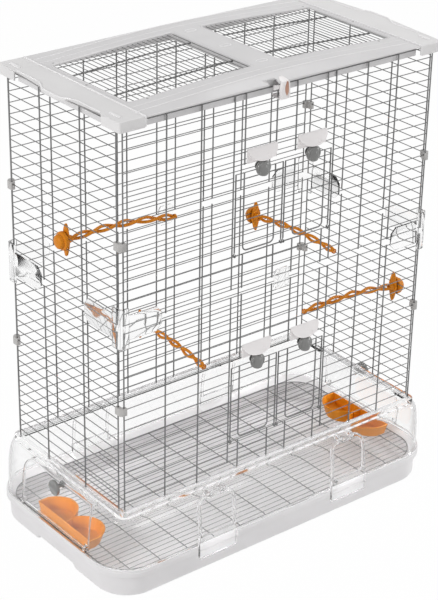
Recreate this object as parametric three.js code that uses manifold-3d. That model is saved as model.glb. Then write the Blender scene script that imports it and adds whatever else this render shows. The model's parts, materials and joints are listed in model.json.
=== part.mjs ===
import * as THREE from "three";
import { mergeGeometries, mergeVertices } from "three/addons/utils/BufferGeometryUtils.js";
import Module from "manifold-3d";

const wasm = await Module();
wasm.setup();

// All sizes are in millimetres. X runs along the front, Y from front to back, Z up.
const REST_GAP = 0.3;
const OVERLAP = 0.5;
const REACH = 60;
const OVERRUN = 1;
const MERGE_DISTANCE = 1e-4;
const QUARTER = Math.PI / 2;

// Tray: a deep tray with a stepped rim
const TRAY = {
  length: 780, depth: 420, corner: 76, rimTop: 60, rimBottom: 45, ledge: 47.5, wall: 2.5,
  footInset: 8, shoulderGrowth: 4, floor: 3, cornerSteps: 5,
  gripHalf: 60, gripHeight: 8, gripDepth: 26, pocketDepth: 6.7, pocketHalf: 46, pocketWall: 2.4,
};

// Wire floor on the ledge of the tray
const GRATE = {
  thickness: 2, border: 3, pitch: 12, wire: 1.6, crossPitch: 62, crossMargin: 28, crossWidth: 2.4,
  crossHeight: 2.2, clearance: 1.2, cornerSteps: 4,
};

// Clear guard: flange, curved wall and the rail that carries the wire walls
const GUARD = {
  flangeInset: 2, flangeHeight: 3, wallInset: 7, wallCorner: 64, wall: 2.5, fullness: 2.6,
  railEndInset: 32.5, railFrontInset: 29, railCorner: 15, railWidth: 13, railBottom: 158, cornerSteps: 5,
  arcShares: [0, 0.16, 0.36, 0.56, 0.76, 0.9, 1],
};
const WIRE_FOOT = 170;

// Outlines set in from the rim of the tray
const FOOT = {
  length: TRAY.length - 2 * TRAY.footInset, depth: TRAY.depth - 2 * TRAY.footInset,
  corner: TRAY.corner - TRAY.footInset,
};
const FLANGE = {
  length: TRAY.length - 2 * GUARD.flangeInset, depth: TRAY.depth - 2 * GUARD.flangeInset,
  corner: TRAY.corner - GUARD.flangeInset,
};
const SKIRT = { length: TRAY.length - 2 * GUARD.wallInset, depth: TRAY.depth - 2 * GUARD.wallInset };
const RAIL = { length: TRAY.length - 2 * GUARD.railEndInset, depth: TRAY.depth - 2 * GUARD.railFrontInset };

// Latches that tie the guard to the tray
const LATCH = {
  centre: 161, halfWidth: 43, bar: 6, top: 154, archCorner: 19, gap: 0.5, thickness: 3.2,
  plateBottom: 30, plateTop: 76, plateThickness: 5.2, plateGap: 0.7, archSteps: 4,
  pivotRadius: 2.2, pivotHalf: 25, pivotLift: 0.5, pivotGap: 0.6, lugIn: 12.5, lugWidth: 5.5,
  lugSize: 8.4, pinSides: 8,
};

// Hatches in the ends of the guard
const HATCH = {
  half: 110, bottom: 67, top: 157, corner: 18, side: 0.7, topGap: 1.8, notch: 12, notchHeight: 9,
  hingeInset: 5.8, hingeLift: 2.7, hingeRadius: 2.2, lugWidth: 5.5, lugGap: 1, lugSize: 8.6, cornerSteps: 4,
  knobHeight: 147, knobHole: 4.4,
};

// Turn knobs on the hatches, set in from the end of the tray
const HATCH_KNOB = {
  innerInset: 28.8, flange: 2.6, flangeRadius: 7, stemRadius: 4, discInset: 11.1, discDepth: 5.8,
  radius: 15, finDepth: 4.6, finLength: 25, finWidth: 5, sides: 12, edge: 1.5,
};

// Orange double cups standing on the wire floor
const CUP = {
  length: 168, lobe: 51, valleyShare: 0.38, height: 27, taperShare: 0.88, wall: 2.4, floor: 3,
  lobeSteps: 7, divider: 3, leftInset: 18, leftShift: -15, rightInset: 39, rightShift: -31,
};

// Wire walls: two panels stacked, with a seam between them
const WALL = {
  frontMargin: 12.5, sideMargin: 21, frontInset: 11, sideInset: 7,
  upright: 3, row: 2, thickness: 2, outer: 3, layerGap: 0.3,
  rowPitch: 21.15, lowerRow: 15.65, upperRow: 369.8, lowerRows: 17, upperRows: 18,
  lowerTop: 357.5, upperFoot: 368.3, upperTop: 731,
  frontWires: [258, 185.4], shortWires: [91.4, 22], doorJamb: 113.2, sideWires: [60],
  lowerDoorRow: 2, upperDoorRow: 3, doorRows: 8,
};

// Half widths of the wire walls and how far they stand from the middle
const SPAN = {
  front: RAIL.length / 2 - WALL.frontMargin, side: RAIL.depth / 2 - WALL.sideMargin,
  frontPlane: RAIL.depth / 2 - WALL.frontInset, sidePlane: RAIL.length / 2 - WALL.sideInset,
};

// Doors: two in each opening, hinged on the wire below them
const DOOR = {
  inner: 3.6, outer: 109.4, edge: 3, topBelow: 16.4, secondBelow: 27.7, loopLift: 7, loopCorner: 9,
  loopSteps: 3, ringInner: 1.75, ringOuter: 3.2, ringWidth: 4, ringSides: 8,
  weldHalf: 1,
};

// Turn knobs on the doors, with a pin just above the top wire and a flange behind it
const DOOR_KNOB = {
  backDepth: 2.4, backRadius: 8, pinRadius: 4, neckRadius: 6, neckDepth: 6.5, radius: 15,
  discDepth: 8, edge: 2, finDepth: 7.5, finLength: 26, finWidth: 5, sides: 12,
};

// White housings above the doors
const KEEPER = {
  half: 33, height: 23.2, above: 4.6, straight: 8, depth: 15.4, slope: 8, backPower: 12,
  middleShare: 0.6, steps: 12,
};

// White clips and clear brackets at the corners
const CLIP = { height: 15, lowerRow: 9, upperRow: 7, drop: 3, cover: 2.7, chamfer: 5 };
const BRACKET = {
  armTop: 388, armBottom: 341, columnTop: 402, columnBottom: 326, arm: 3.2, column: 4.7,
  frontReach: 78, sideReach: 92, end: 12, bend: 4, wrap: 8, cornerSteps: 4,
};
const CONNECTOR = { half: 17, bottom: 343, top: 383, thickness: 3.2, chamfer: 5 };

// Perches. Their height is taken from the foot of the wires and the rise is that of the tip over the root.
const PERCH = {
  strand: 4.2, offset: 3.3, sides: 8, turns: 2.6, rings: 12, tip: 8, arch: 8,
  plateHalf: 11, plateHeight: 62, plateShoulder: 17, plateDepth: 4, stemRadius: 5.5, stemLength: 11,
  stemSides: 10, root: 7.5, rootLength: 12, tipShare: 0.45,
};
const NUT = {
  radius: 17, depth: 16, bore: 5.9, boreDepth: 12.6, sides: 12, rimShare: 0.35, crownShare: 0.8,
  crownRadius: 13.6, tipRadius: 6.8,
};
const PERCHES = [
  { side: "left", along: -5, height: 468.5, length: 235, rise: -17 },
  { side: "back", along: -66, height: 149.6, length: 204, rise: -7 },
  { side: "back", along: 221, height: 304.7, length: 236, rise: 11 },
  { side: "right", along: -107, height: 220.2, length: 231, rise: 13 },
];

// Top cover
const TOP = {
  overhang: 0.5, edge: 739, rise: 11, archPower: 1.5, shoulder: 31, shoulderPower: 2.5, plate: 2.5,
  corner: 4, fascia: 735, bandBottom: 718, band: 2.4, capWidth: 54, capBottom: 720, seamGap: 0.3,
  blockLength: 52, lipHeight: 5, skirtLap: 1,
  windowIn: 32, windowMargin: 13, railWidth: 69, windowCorner: 6, lip: 2.5, lipFoot: 736.2,
  bulge: 5, bulgeHalf: 58, bulgeSlope: 26, margin: 1.2, gridX: 12, cornerSteps: 3, floor: 700,
  shoulderShares: [0, 0.45, 0.75, 1],
  bossHalf: 10, bossWidth: 3.4, bossRise: 1.2, bossMargin: 80, bossSteps: 4,
};
const COVER = { half: RAIL.length / 2 + TOP.overhang, depthHalf: RAIL.depth / 2 };
COVER.capInner = COVER.half - TOP.capWidth;
COVER.windowOut = COVER.capInner - TOP.windowMargin;
COVER.windowHalf = COVER.depthHalf - TOP.railWidth;
const GRILLE = {
  lap: 7, lapDepth: 26, gaps: 54, wire: 1.8, border: 3, thickness: 2, longWidth: 3,
  longShift: 60, longDepth: 3,
};
const HOOK = { shift: -16, half: 11, top: 742, bottom: 708, thickness: 4, lip: 9, lipDepth: 3.4 };

// Colours
const FINISH = {
  frosted: { color: 0xe4e4e8, roughness: 0.45, metalness: 0 },
  clear: { color: 0xe9edf2, roughness: 0.15, metalness: 0, transparent: true, opacity: 0.35 },
  wire: { color: 0x6f6e6c, roughness: 0.4, metalness: 0.6 },
  cover: { color: 0xdedddf, roughness: 0.5, metalness: 0 },
  white: { color: 0xf2f2f2, roughness: 0.45, metalness: 0 },
  knob: { color: 0x8d8f8d, roughness: 0.35, metalness: 0.2 },
  orange: { color: 0xf0962f, roughness: 0.35, metalness: 0 },
};

// Solids and meshes
function toSolid(geometry) {
  const plain = geometry.clone();
  plain.deleteAttribute("normal");
  plain.deleteAttribute("uv");
  const merged = mergeVertices(plain, MERGE_DISTANCE);
  const vertProperties = new Float32Array(merged.attributes.position.array);
  const triVerts = new Uint32Array(merged.index.array);
  return new wasm.Manifold(new wasm.Mesh({ numProp: 3, vertProperties, triVerts }));
}

function toGeometry(solid) {
  const mesh = solid.getMesh();
  const geometry = new THREE.BufferGeometry();
  geometry.setAttribute("position", new THREE.BufferAttribute(new Float32Array(mesh.vertProperties), 3));
  geometry.setIndex(new THREE.BufferAttribute(new Uint32Array(mesh.triVerts), 1));
  const facets = geometry.toNonIndexed();
  facets.computeVertexNormals();
  return facets;
}

// The same shape seen in a mirror across X or Y, with its faces still pointing out
function mirrored(geometry, flipX, flipY) {
  const source = geometry.attributes.position;
  const swap = flipX !== flipY;
  const points = [];
  for (let k = 0; k < source.count; k += 3) {
    (swap ? [k, k + 2, k + 1] : [k, k + 1, k + 2]).forEach((i) => {
      points.push(flipX ? -source.getX(i) : source.getX(i), flipY ? -source.getY(i) : source.getY(i));
      points.push(source.getZ(i));
    });
  }
  const result = new THREE.BufferGeometry();
  result.setAttribute("position", new THREE.Float32BufferAttribute(points, 3));
  result.computeVertexNormals();
  return result;
}

function join(solids) {
  return solids.reduce((whole, next) => whole.add(next));
}

function cut(solid, tools) {
  return tools.reduce((whole, tool) => whole.subtract(tool), solid);
}

function box(x, y, z) {
  const geometry = new THREE.BoxGeometry(x[1] - x[0], y[1] - y[0], z[1] - z[0]);
  geometry.translate((x[0] + x[1]) / 2, (y[0] + y[1]) / 2, (z[0] + z[1]) / 2);
  return toSolid(geometry);
}

function polygon(points) {
  return new THREE.Shape(points.map(([x, y]) => new THREE.Vector2(x, y)));
}

// An outline raised between two heights, with holes right through, then turned to its place
function slab(points, z, holes, place) {
  const raise = (outline, from, to) => {
    const geometry = new THREE.ExtrudeGeometry(polygon(outline), { depth: to - from, bevelEnabled: false });
    return place(geometry.translate(0, 0, from));
  };
  const whole = toSolid(raise(points, z[0], z[1]));
  if (holes.length === 0) return whole;
  const cutters = holes.map((hole) => raise(hole, z[0] - OVERRUN, z[1] + OVERRUN));
  return whole.subtract(toSolid(mergeGeometries(cutters)));
}

// An outline in X and Y, raised from one height to the other
function prism(points, z, holes = []) {
  return slab(points, z, holes, (geometry) => geometry);
}

// An outline in X and Z, with its thickness along Y
function frontPrism(points, y, holes = []) {
  return slab(points, [-y[1], -y[0]], holes, (geometry) => geometry.rotateX(QUARTER));
}

// An outline in Y and Z, with its thickness along X
function sidePrism(points, x, holes = []) {
  return slab(points, x, holes, (geometry) => geometry.rotateX(QUARTER).rotateZ(QUARTER));
}

function rectangle(u, v) {
  return [[u[0], v[0]], [u[1], v[0]], [u[1], v[1]], [u[0], v[1]]];
}

// A round profile of radius and height pairs, turned about Z
function turned(profile, sides) {
  const geometry = new THREE.LatheGeometry(profile.map(([r, z]) => new THREE.Vector2(r, z)), sides);
  geometry.rotateX(QUARTER);
  return geometry;
}

function arcPoints(cx, cy, radius, from, to, steps) {
  return Array.from({ length: steps + 1 }, (_, k) => {
    const angle = from + ((to - from) * k) / steps;
    return [cx + radius * Math.cos(angle), cy + radius * Math.sin(angle)];
  });
}

function roundedOutline(length, depth, corner, steps) {
  const x = length / 2 - corner;
  const y = depth / 2 - corner;
  const corners = [[x, y], [-x, y], [-x, -y], [x, -y]];
  return corners.flatMap(([cx, cy], k) => arcPoints(cx, cy, corner, k * QUARTER, (k + 1) * QUARTER, steps));
}

function ring(length, depth, corner, z, steps) {
  return roundedOutline(length, depth, corner, steps).map(([x, y]) => [x, y, z]);
}

// A skin through rings with equal point counts, closed in a loop or capped at both ends
function loft(rings, closed = false) {
  const count = rings[0].length;
  const index = [];
  const last = closed ? rings.length : rings.length - 1;
  for (let level = 0; level < last; level += 1) {
    const next = (level + 1) % rings.length;
    for (let k = 0; k < count; k += 1) {
      const turn = (k + 1) % count;
      const corners = [level * count + k, level * count + turn, next * count + turn, next * count + k];
      index.push(corners[0], corners[1], corners[2], corners[0], corners[2], corners[3]);
    }
  }
  if (!closed) {
    const flat = (points) => points.map(([x, y]) => new THREE.Vector2(x, y));
    const top = (rings.length - 1) * count;
    THREE.ShapeUtils.triangulateShape(flat(rings[0]), []).forEach(([a, b, c]) => index.push(a, c, b));
    THREE.ShapeUtils.triangulateShape(flat(rings[rings.length - 1]), []).forEach(([a, b, c]) => {
      index.push(top + a, top + b, top + c);
    });
  }
  const geometry = new THREE.BufferGeometry();
  geometry.setAttribute("position", new THREE.Float32BufferAttribute(rings.flat(2), 3));
  geometry.setIndex(index);
  return geometry;
}

const cage = new THREE.Group();

function addMesh(parent, name, finish, geometry) {
  const mesh = new THREE.Mesh(geometry, new THREE.MeshStandardMaterial(FINISH[finish]));
  mesh.name = name;
  parent.add(mesh);
  return mesh;
}

function addSolid(parent, name, finish, solid) {
  return addMesh(parent, name, finish, toGeometry(solid));
}

// Tray
function trayStack(inset, floor, top) {
  const grow = TRAY.shoulderGrowth;
  const round = (length, depth, corner, z) =>
    ring(length - 2 * inset, depth - 2 * inset, corner - inset, z, TRAY.cornerSteps);
  const shoulder = inset > 0 ? TRAY.ledge : TRAY.rimBottom;
  return toSolid(loft([
    round(FOOT.length, FOOT.depth, FOOT.corner, floor),
    round(FOOT.length + grow, FOOT.depth + grow, FOOT.corner + grow / 2, shoulder),
    round(TRAY.length, TRAY.depth, TRAY.corner, shoulder),
    round(TRAY.length, TRAY.depth, TRAY.corner, top),
  ]));
}

function pocketBox(sideX, sideY, extra) {
  const centre = sideX * LATCH.centre;
  const half = TRAY.pocketHalf + extra;
  const wallLine = TRAY.depth / 2 - TRAY.pocketDepth - extra;
  const y = sideY > 0 ? [wallLine, wallLine + REACH] : [-wallLine - REACH, -wallLine];
  return box([centre - half, centre + half], y, [-REACH, TRAY.rimTop + REACH]);
}

function gripBox(side, extra) {
  const line = FOOT.length / 2 - TRAY.gripDepth - extra;
  const x = side > 0 ? [line, line + REACH] : [-line - REACH, -line];
  const half = TRAY.gripHalf + extra;
  return box(x, [-half, half], [-REACH, TRAY.gripHeight + extra]);
}

const fourCorners = [[-1, -1], [1, -1], [-1, 1], [1, 1]];
const trayOuter = cut(trayStack(0, 0, TRAY.rimTop), [
  ...fourCorners.map(([sideX, sideY]) => pocketBox(sideX, sideY, 0)),
  gripBox(-1, 0),
  gripBox(1, 0),
]);
const trayInner = cut(trayStack(TRAY.wall, TRAY.floor, TRAY.rimTop + OVERRUN), [
  ...fourCorners.map(([sideX, sideY]) => pocketBox(sideX, sideY, TRAY.pocketWall)),
  gripBox(-1, TRAY.wall),
  gripBox(1, TRAY.wall),
]);
addSolid(cage, "tray", "frosted", trayOuter.subtract(trayInner));

// Wire floor: a border, long wires flush with it and heavier cross wires on top
function grateSolid() {
  const inset = TRAY.wall + GRATE.clearance;
  const length = TRAY.length - 2 * inset;
  const depth = TRAY.depth - 2 * (TRAY.pocketDepth + TRAY.pocketWall + GRATE.clearance);
  const corner = TRAY.corner - inset;
  const z = [TRAY.ledge + REST_GAP, TRAY.ledge + REST_GAP + GRATE.thickness];
  const innerHalf = depth / 2 - GRATE.border;
  const innerCorner = corner - GRATE.border;
  const halfAt = (y) => {
    const over = Math.max(0, Math.abs(y) - (innerHalf - innerCorner));
    return length / 2 - corner + Math.sqrt(Math.max(0, innerCorner * innerCorner - over * over));
  };
  const count = Math.floor((2 * innerHalf) / GRATE.pitch);
  const pitch = (2 * innerHalf) / count;
  const holes = Array.from({ length: count }, (_, k) => {
    const low = -innerHalf + k * pitch + (k === 0 ? 0 : GRATE.wire / 2);
    const high = -innerHalf + (k + 1) * pitch - (k === count - 1 ? 0 : GRATE.wire / 2);
    return [[-halfAt(low), low], [halfAt(low), low], [halfAt(high), high], [-halfAt(high), high]];
  });
  const base = prism(roundedOutline(length, depth, corner, GRATE.cornerSteps), z, holes);
  const crossZ = [z[1] + REST_GAP, z[1] + REST_GAP + GRATE.crossHeight];
  const crossGaps = Math.floor((length - 2 * GRATE.crossMargin) / GRATE.crossPitch);
  const crossWires = Array.from({ length: crossGaps + 1 }, (_, k) => {
    const x = (k - crossGaps / 2) * GRATE.crossPitch;
    const over = Math.max(0, Math.abs(x) - (length / 2 - corner));
    const bend = Math.sqrt(Math.max(0, innerCorner * innerCorner - over * over));
    const reach = innerHalf - innerCorner + bend + GRATE.border;
    const foot = z[1] - OVERLAP;
    const outline = [
      [-reach, foot], [-reach + GRATE.border, foot], [-reach + GRATE.border, crossZ[0]],
      [reach - GRATE.border, crossZ[0]], [reach - GRATE.border, foot], [reach, foot],
      [reach, crossZ[1]], [-reach, crossZ[1]],
    ];
    return sidePrism(outline, [x - GRATE.crossWidth / 2, x + GRATE.crossWidth / 2]);
  });
  return { solid: join([base, ...crossWires]), top: crossZ[1] };
}
const grate = grateSolid();
addSolid(cage, "floor_grate", "wire", grate.solid);

// Guard
const GUARD_FOOT = TRAY.rimTop + REST_GAP;
const WALL_FOOT = GUARD_FOOT + GUARD.flangeHeight;
const RAIL_TOP = WIRE_FOOT - REST_GAP;

function guardRing(share, z, offset) {
  const length = RAIL.length + (SKIRT.length - RAIL.length) * share;
  const depth = RAIL.depth + (SKIRT.depth - RAIL.depth) * share;
  const corner = GUARD.railCorner + (GUARD.wallCorner - GUARD.railCorner) * share;
  return ring(length + 2 * offset, depth + 2 * offset, corner + offset, z, GUARD.cornerSteps);
}

// How far out the wall still is, as a share, at a share of the height between flange and rail
function outwardShare(heightShare) {
  return Math.max(0, 1 - heightShare ** GUARD.fullness) ** (1 / GUARD.fullness);
}

// The curve from the flange up to the rail, grown by an offset
function guardArc(offset) {
  const rise = GUARD.railBottom - WALL_FOOT + offset;
  return GUARD.arcShares.map((step) => {
    const heightShare = Math.sin(step * QUARTER) ** (2 / GUARD.fullness);
    const share = outwardShare(heightShare);
    return guardRing(share, WALL_FOOT + rise * heightShare, offset * share);
  });
}

function domeSolid(offset, shift = 0) {
  const arc = guardArc(offset);
  return toSolid(loft([guardRing(1, -REACH, offset), ...arc]).translate(shift, 0, 0));
}

const flange = (z) => ring(FLANGE.length, FLANGE.depth, FLANGE.corner, z, GUARD.cornerSteps);
const guardRings = [
  flange(GUARD_FOOT),
  flange(WALL_FOOT),
  ...guardArc(0),
  guardRing(0, RAIL_TOP, 0),
  guardRing(0, RAIL_TOP, -GUARD.railWidth),
  guardRing(0, GUARD.railBottom - GUARD.wall, -GUARD.railWidth),
  ...guardArc(-GUARD.wall).reverse(),
  guardRing(1, GUARD_FOOT, -GUARD.wall),
];
const dome = domeSolid(0);
const domeInside = domeSolid(-GUARD.wall);

function hatchOutline(side, bottom, top, notch) {
  const half = HATCH.half - side;
  const corner = HATCH.corner - side;
  const lower = notch
    ? [[-half, bottom + HATCH.notchHeight], [-half + HATCH.notch, bottom + HATCH.notchHeight],
      [-half + HATCH.notch, bottom], [half - HATCH.notch, bottom],
      [half - HATCH.notch, bottom + HATCH.notchHeight], [half, bottom + HATCH.notchHeight]]
    : [[-half, bottom], [half, bottom]];
  return [
    ...lower,
    ...arcPoints(half - corner, top - corner, corner, 0, QUARTER, HATCH.cornerSteps),
    ...arcPoints(-half + corner, top - corner, corner, QUARTER, 2 * QUARTER, HATCH.cornerSteps),
  ];
}

const endRange = (side) => (side > 0
  ? [RAIL.length / 2 - GUARD.railWidth / 2, TRAY.length / 2 + REACH]
  : [-TRAY.length / 2 - REACH, -RAIL.length / 2 + GUARD.railWidth / 2]);
const hatchAxisZ = HATCH.bottom + HATCH.hingeLift;
const hatchAxisX = TRAY.length / 2 - HATCH.hingeInset;

function barAlongY(x, z, y, radius, sides) {
  const geometry = new THREE.CylinderGeometry(radius, radius, y[1] - y[0], sides);
  geometry.translate(x, (y[0] + y[1]) / 2, z);
  return toSolid(geometry);
}

function barAlongX(y, z, x, radius, sides) {
  const geometry = new THREE.CylinderGeometry(radius, radius, x[1] - x[0], sides);
  geometry.rotateZ(QUARTER);
  geometry.translate((x[0] + x[1]) / 2, y, z);
  return toSolid(geometry);
}

const hatchLugY = HATCH.half - HATCH.side - HATCH.notch + HATCH.lugGap + REST_GAP;
const hatchBarHalf = hatchLugY + HATCH.lugWidth - REST_GAP;

function hatchLug(sideX, sideY) {
  const x = sideX * hatchAxisX;
  const y = sideY > 0 ? [hatchLugY, hatchLugY + HATCH.lugWidth] : [-hatchLugY - HATCH.lugWidth, -hatchLugY];
  const half = HATCH.lugSize / 2;
  const block = box([x - half, x + half], y, [WALL_FOOT - OVERLAP, hatchAxisZ + half]);
  const through = [y[0] - OVERRUN, y[1] + OVERRUN];
  const bore = barAlongY(x, hatchAxisZ, through, HATCH.hingeRadius + REST_GAP, LATCH.pinSides);
  return { block, bore };
}

const latchAxisZ = LATCH.top + LATCH.pivotLift;
const latchAxisY = RAIL.depth / 2 + latchReach();

// How far the guard stands out from the rail at the height of the latch pivot
function latchReach() {
  const share = outwardShare((latchAxisZ - WALL_FOOT) / (GUARD.railBottom - WALL_FOOT));
  const bulge = (SKIRT.depth - RAIL.depth) / 2;
  return bulge * share + LATCH.gap + LATCH.pivotRadius + LATCH.pivotGap;
}

function latchLug(sideX, sideY, end) {
  const start = LATCH.lugIn + REST_GAP;
  const centre = sideX * LATCH.centre;
  const x = end > 0
    ? [centre + start, centre + start + LATCH.lugWidth]
    : [centre - start - LATCH.lugWidth, centre - start];
  const y = sideY * latchAxisY;
  const half = LATCH.lugSize / 2;
  const root = sideY * (RAIL.depth / 2 - OVERRUN);
  const yRange = sideY > 0 ? [root, y + half] : [y - half, root];
  const block = box(x, yRange, [latchAxisZ - half, latchAxisZ + half]);
  const through = [x[0] - OVERRUN, x[1] + OVERRUN];
  const bore = barAlongX(y, latchAxisZ, through, LATCH.pivotRadius + REST_GAP, LATCH.pinSides);
  return { block, bore };
}

const latchLugs = fourCorners.flatMap(([sideX, sideY]) => [-1, 1].map((end) => latchLug(sideX, sideY, end)));
const hatchLugs = fourCorners.map(([sideX, sideY]) => hatchLug(sideX, sideY));
const lugs = [...latchLugs, ...hatchLugs];
const guardShell = cut(toSolid(loft(guardRings, true)), [
  ...[-1, 1].map((side) => sidePrism(hatchOutline(0, HATCH.bottom, HATCH.top, false), endRange(side))),
  ...fourCorners.map(([sideX, sideY]) => pocketBox(sideX, sideY, 0)),
]);
const lugBlocks = join(lugs.map((lug) => lug.block)).subtract(domeInside);
addSolid(cage, "guard", "clear", cut(guardShell.add(lugBlocks), lugs.map((lug) => lug.bore)));

// Hatches and their knobs
function addHatch(side, name) {
  const outline = hatchOutline(HATCH.side, HATCH.bottom + HATCH.side, HATCH.top - HATCH.topGap, true);
  const panel = dome.subtract(domeInside).intersect(sidePrism(outline, endRange(side)));
  const bar = barAlongY(side * hatchAxisX, hatchAxisZ, [-hatchBarHalf, hatchBarHalf],
    HATCH.hingeRadius, LATCH.pinSides);
  const hole = barAlongX(0, HATCH.knobHeight, endRange(side), HATCH.knobHole, LATCH.pinSides);
  addSolid(cage, `feeder_hatch_${name}`, "clear", panel.add(bar).subtract(hole));

  const knob = HATCH_KNOB;
  const inner = TRAY.length / 2 - knob.innerInset;
  const face = TRAY.length / 2 - knob.discInset;
  const disc = face + knob.discDepth;
  const profile = [
    [0, inner], [knob.flangeRadius, inner],
    [knob.flangeRadius, inner + knob.flange], [knob.stemRadius, inner + knob.flange],
    [knob.stemRadius, face], [knob.radius, face], [knob.radius, disc - knob.edge],
    [knob.radius - knob.edge, disc], [0, disc],
  ];
  const body = toSolid(turned(profile, knob.sides));
  const fin = box([-knob.finWidth / 2, knob.finWidth / 2], [-knob.finLength / 2, knob.finLength / 2],
    [disc - OVERLAP, disc + knob.finDepth]);
  const geometry = toGeometry(body.add(fin));
  const mesh = addMesh(cage, `hatch_knob_${name}`, "knob", geometry);
  mesh.rotation.set(0, side * QUARTER, 0);
  mesh.position.set(0, 0, HATCH.knobHeight);
}
addHatch(-1, "left");
addHatch(1, "right");

// Latches, built at the front right and turned for the others
function latchSolid() {
  const half = LATCH.halfWidth;
  const foot = LATCH.plateTop - OVERLAP;
  const arcX = half - LATCH.archCorner;
  const arcZ = LATCH.top - LATCH.archCorner;
  const inner = LATCH.archCorner - LATCH.bar;
  const outline = [
    [half, foot],
    ...arcPoints(arcX, arcZ, LATCH.archCorner, 0, QUARTER, LATCH.archSteps),
    ...arcPoints(-arcX, arcZ, LATCH.archCorner, QUARTER, 2 * QUARTER, LATCH.archSteps),
    [-half, foot],
    [-half + LATCH.bar, foot],
    ...arcPoints(-arcX, arcZ, inner, 2 * QUARTER, QUARTER, LATCH.archSteps),
    ...arcPoints(arcX, arcZ, inner, QUARTER, 0, LATCH.archSteps),
    [half - LATCH.bar, foot],
  ];
  const notches = [-1, 1].map((end) => {
    const near = end * LATCH.lugIn;
    const far = end * (LATCH.lugIn + LATCH.lugWidth + 2 * REST_GAP);
    return box([Math.min(near, far), Math.max(near, far)], [-TRAY.depth, 0],
      [latchAxisZ - LATCH.lugSize, latchAxisZ + LATCH.lugSize]);
  });
  const range = [-TRAY.depth / 2 - REACH, -RAIL.depth / 2];
  const shell = domeSolid(LATCH.gap + LATCH.thickness, -LATCH.centre)
    .subtract(domeSolid(LATCH.gap, -LATCH.centre));
  const arch = cut(frontPrism(outline, range).intersect(shell), notches);
  const plateBack = TRAY.depth / 2 - TRAY.pocketDepth + LATCH.plateGap;
  const plate = box([-half, half], [-plateBack - LATCH.plateThickness, -plateBack],
    [LATCH.plateBottom, LATCH.plateTop]);
  const bar = barAlongX(-latchAxisY, latchAxisZ, [-LATCH.pivotHalf, LATCH.pivotHalf],
    LATCH.pivotRadius, LATCH.pinSides);
  return join([arch, plate, bar]);
}
const latchGeometry = toGeometry(latchSolid());
fourCorners.forEach(([sideX, sideY]) => {
  const place = `${sideY < 0 ? "front" : "back"}_${sideX < 0 ? "left" : "right"}`;
  const mesh = addMesh(cage, `base_latch_${place}`, "clear", latchGeometry);
  mesh.position.set(sideX * LATCH.centre, 0, 0);
  mesh.rotation.z = sideY > 0 ? Math.PI : 0;
});

// Cups: two lobes side by side with a wall between them
function lobeEdge(y) {
  const halfLobe = CUP.length / 4;
  const lobeWidth = halfLobe * (1 + CUP.valleyShare * CUP.valleyShare / 2);
  const reach = Math.abs(Math.abs(y) - halfLobe) / lobeWidth;
  return CUP.lobe * Math.sqrt(Math.max(0, 1 - reach * reach));
}

function cupOutline() {
  const half = CUP.length / 2;
  const steps = 2 * CUP.lobeSteps;
  const edge = Array.from({ length: steps + 1 }, (_, k) => {
    const y = half * Math.cos((k / steps) * Math.PI);
    return [lobeEdge(y) + CUP.wall, y];
  });
  return [[0, -half], ...edge.reverse(), [0, half]];
}

function cavityOutline(side) {
  const quarter = CUP.length / 4;
  const half = quarter - CUP.wall / 2 - CUP.divider / 2;
  const middle = side * (quarter + CUP.divider / 4);
  const lobe = CUP.lobe - CUP.wall;
  return arcPoints(0, 0, 1, -QUARTER, QUARTER, CUP.lobeSteps + 1)
    .map(([c, s]) => [CUP.wall + lobe * c, middle + half * s]);
}

function cupSolid() {
  const scaled = (outline, share, z) => outline.map(([x, y]) => [x * share, y * share, z]);
  const outer = toSolid(loft([
    scaled(cupOutline(), CUP.taperShare, 0),
    scaled(cupOutline(), 1, CUP.height),
  ]));
  const cavities = [-1, 1].map((side) => toSolid(loft([
    scaled(cavityOutline(side), CUP.taperShare, CUP.floor),
    scaled(cavityOutline(side), 1, CUP.height + OVERRUN),
  ])));
  return cut(outer, cavities);
}
const cupGeometry = toGeometry(cupSolid());
const cupPlaces = [
  ["left", CUP.leftInset - TRAY.length / 2, CUP.leftShift],
  ["right", TRAY.length / 2 - CUP.rightInset, CUP.rightShift],
];
cupPlaces.forEach(([name, x, y]) => {
  const mesh = addMesh(cage, `feed_cup_${name}`, "orange", cupGeometry);
  mesh.position.set(x, y, grate.top + REST_GAP);
  mesh.rotation.z = x > 0 ? Math.PI : 0;
});

// Wire walls. Each wall is built facing the front and turned about Z.
const lowerRows = Array.from({ length: WALL.lowerRows }, (_, k) => WALL.lowerRow + k * WALL.rowPitch);
const upperRows = Array.from({ length: WALL.upperRows }, (_, k) => WALL.upperRow + k * WALL.rowPitch);
const panelSpans = {
  lower: { rows: lowerRows, z: [0, WALL.lowerTop], doorRow: WALL.lowerDoorRow, clipRow: CLIP.lowerRow },
  upper: {
    rows: upperRows, z: [WALL.upperFoot, WALL.upperTop], doorRow: WALL.upperDoorRow, clipRow: CLIP.upperRow,
  },
};
const wallFace = WALL.thickness / 2;
const outerFace = wallFace + WALL.layerGap + WALL.outer;

function cellsBetween(left, right, rows) {
  const z = rows.slice(1).map((row, k) => [rows[k] + WALL.row / 2, row - WALL.row / 2]);
  return z.map((range) => rectangle([left + WALL.upright / 2, right - WALL.upright / 2], range));
}

// A wire in the outer layer, turned in at both ends to the rows that it is welded to
function outerWire(x, rows, z) {
  const back = -(wallFace + WALL.layerGap);
  const weld = -wallFace + OVERLAP;
  const foot = WALL.row / 2 - REST_GAP;
  const low = rows[0];
  const high = rows[rows.length - 1];
  const outline = [
    [-outerFace, z[0]], [back, z[0]], [back, low - foot], [weld, low - foot], [weld, low + foot],
    [back, low + foot], [back, high - foot], [weld, high - foot], [weld, high + foot],
    [back, high + foot], [back, z[1]], [-outerFace, z[1]],
  ];
  return sidePrism(outline, [x - WALL.outer / 2, x + WALL.outer / 2]);
}

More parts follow.
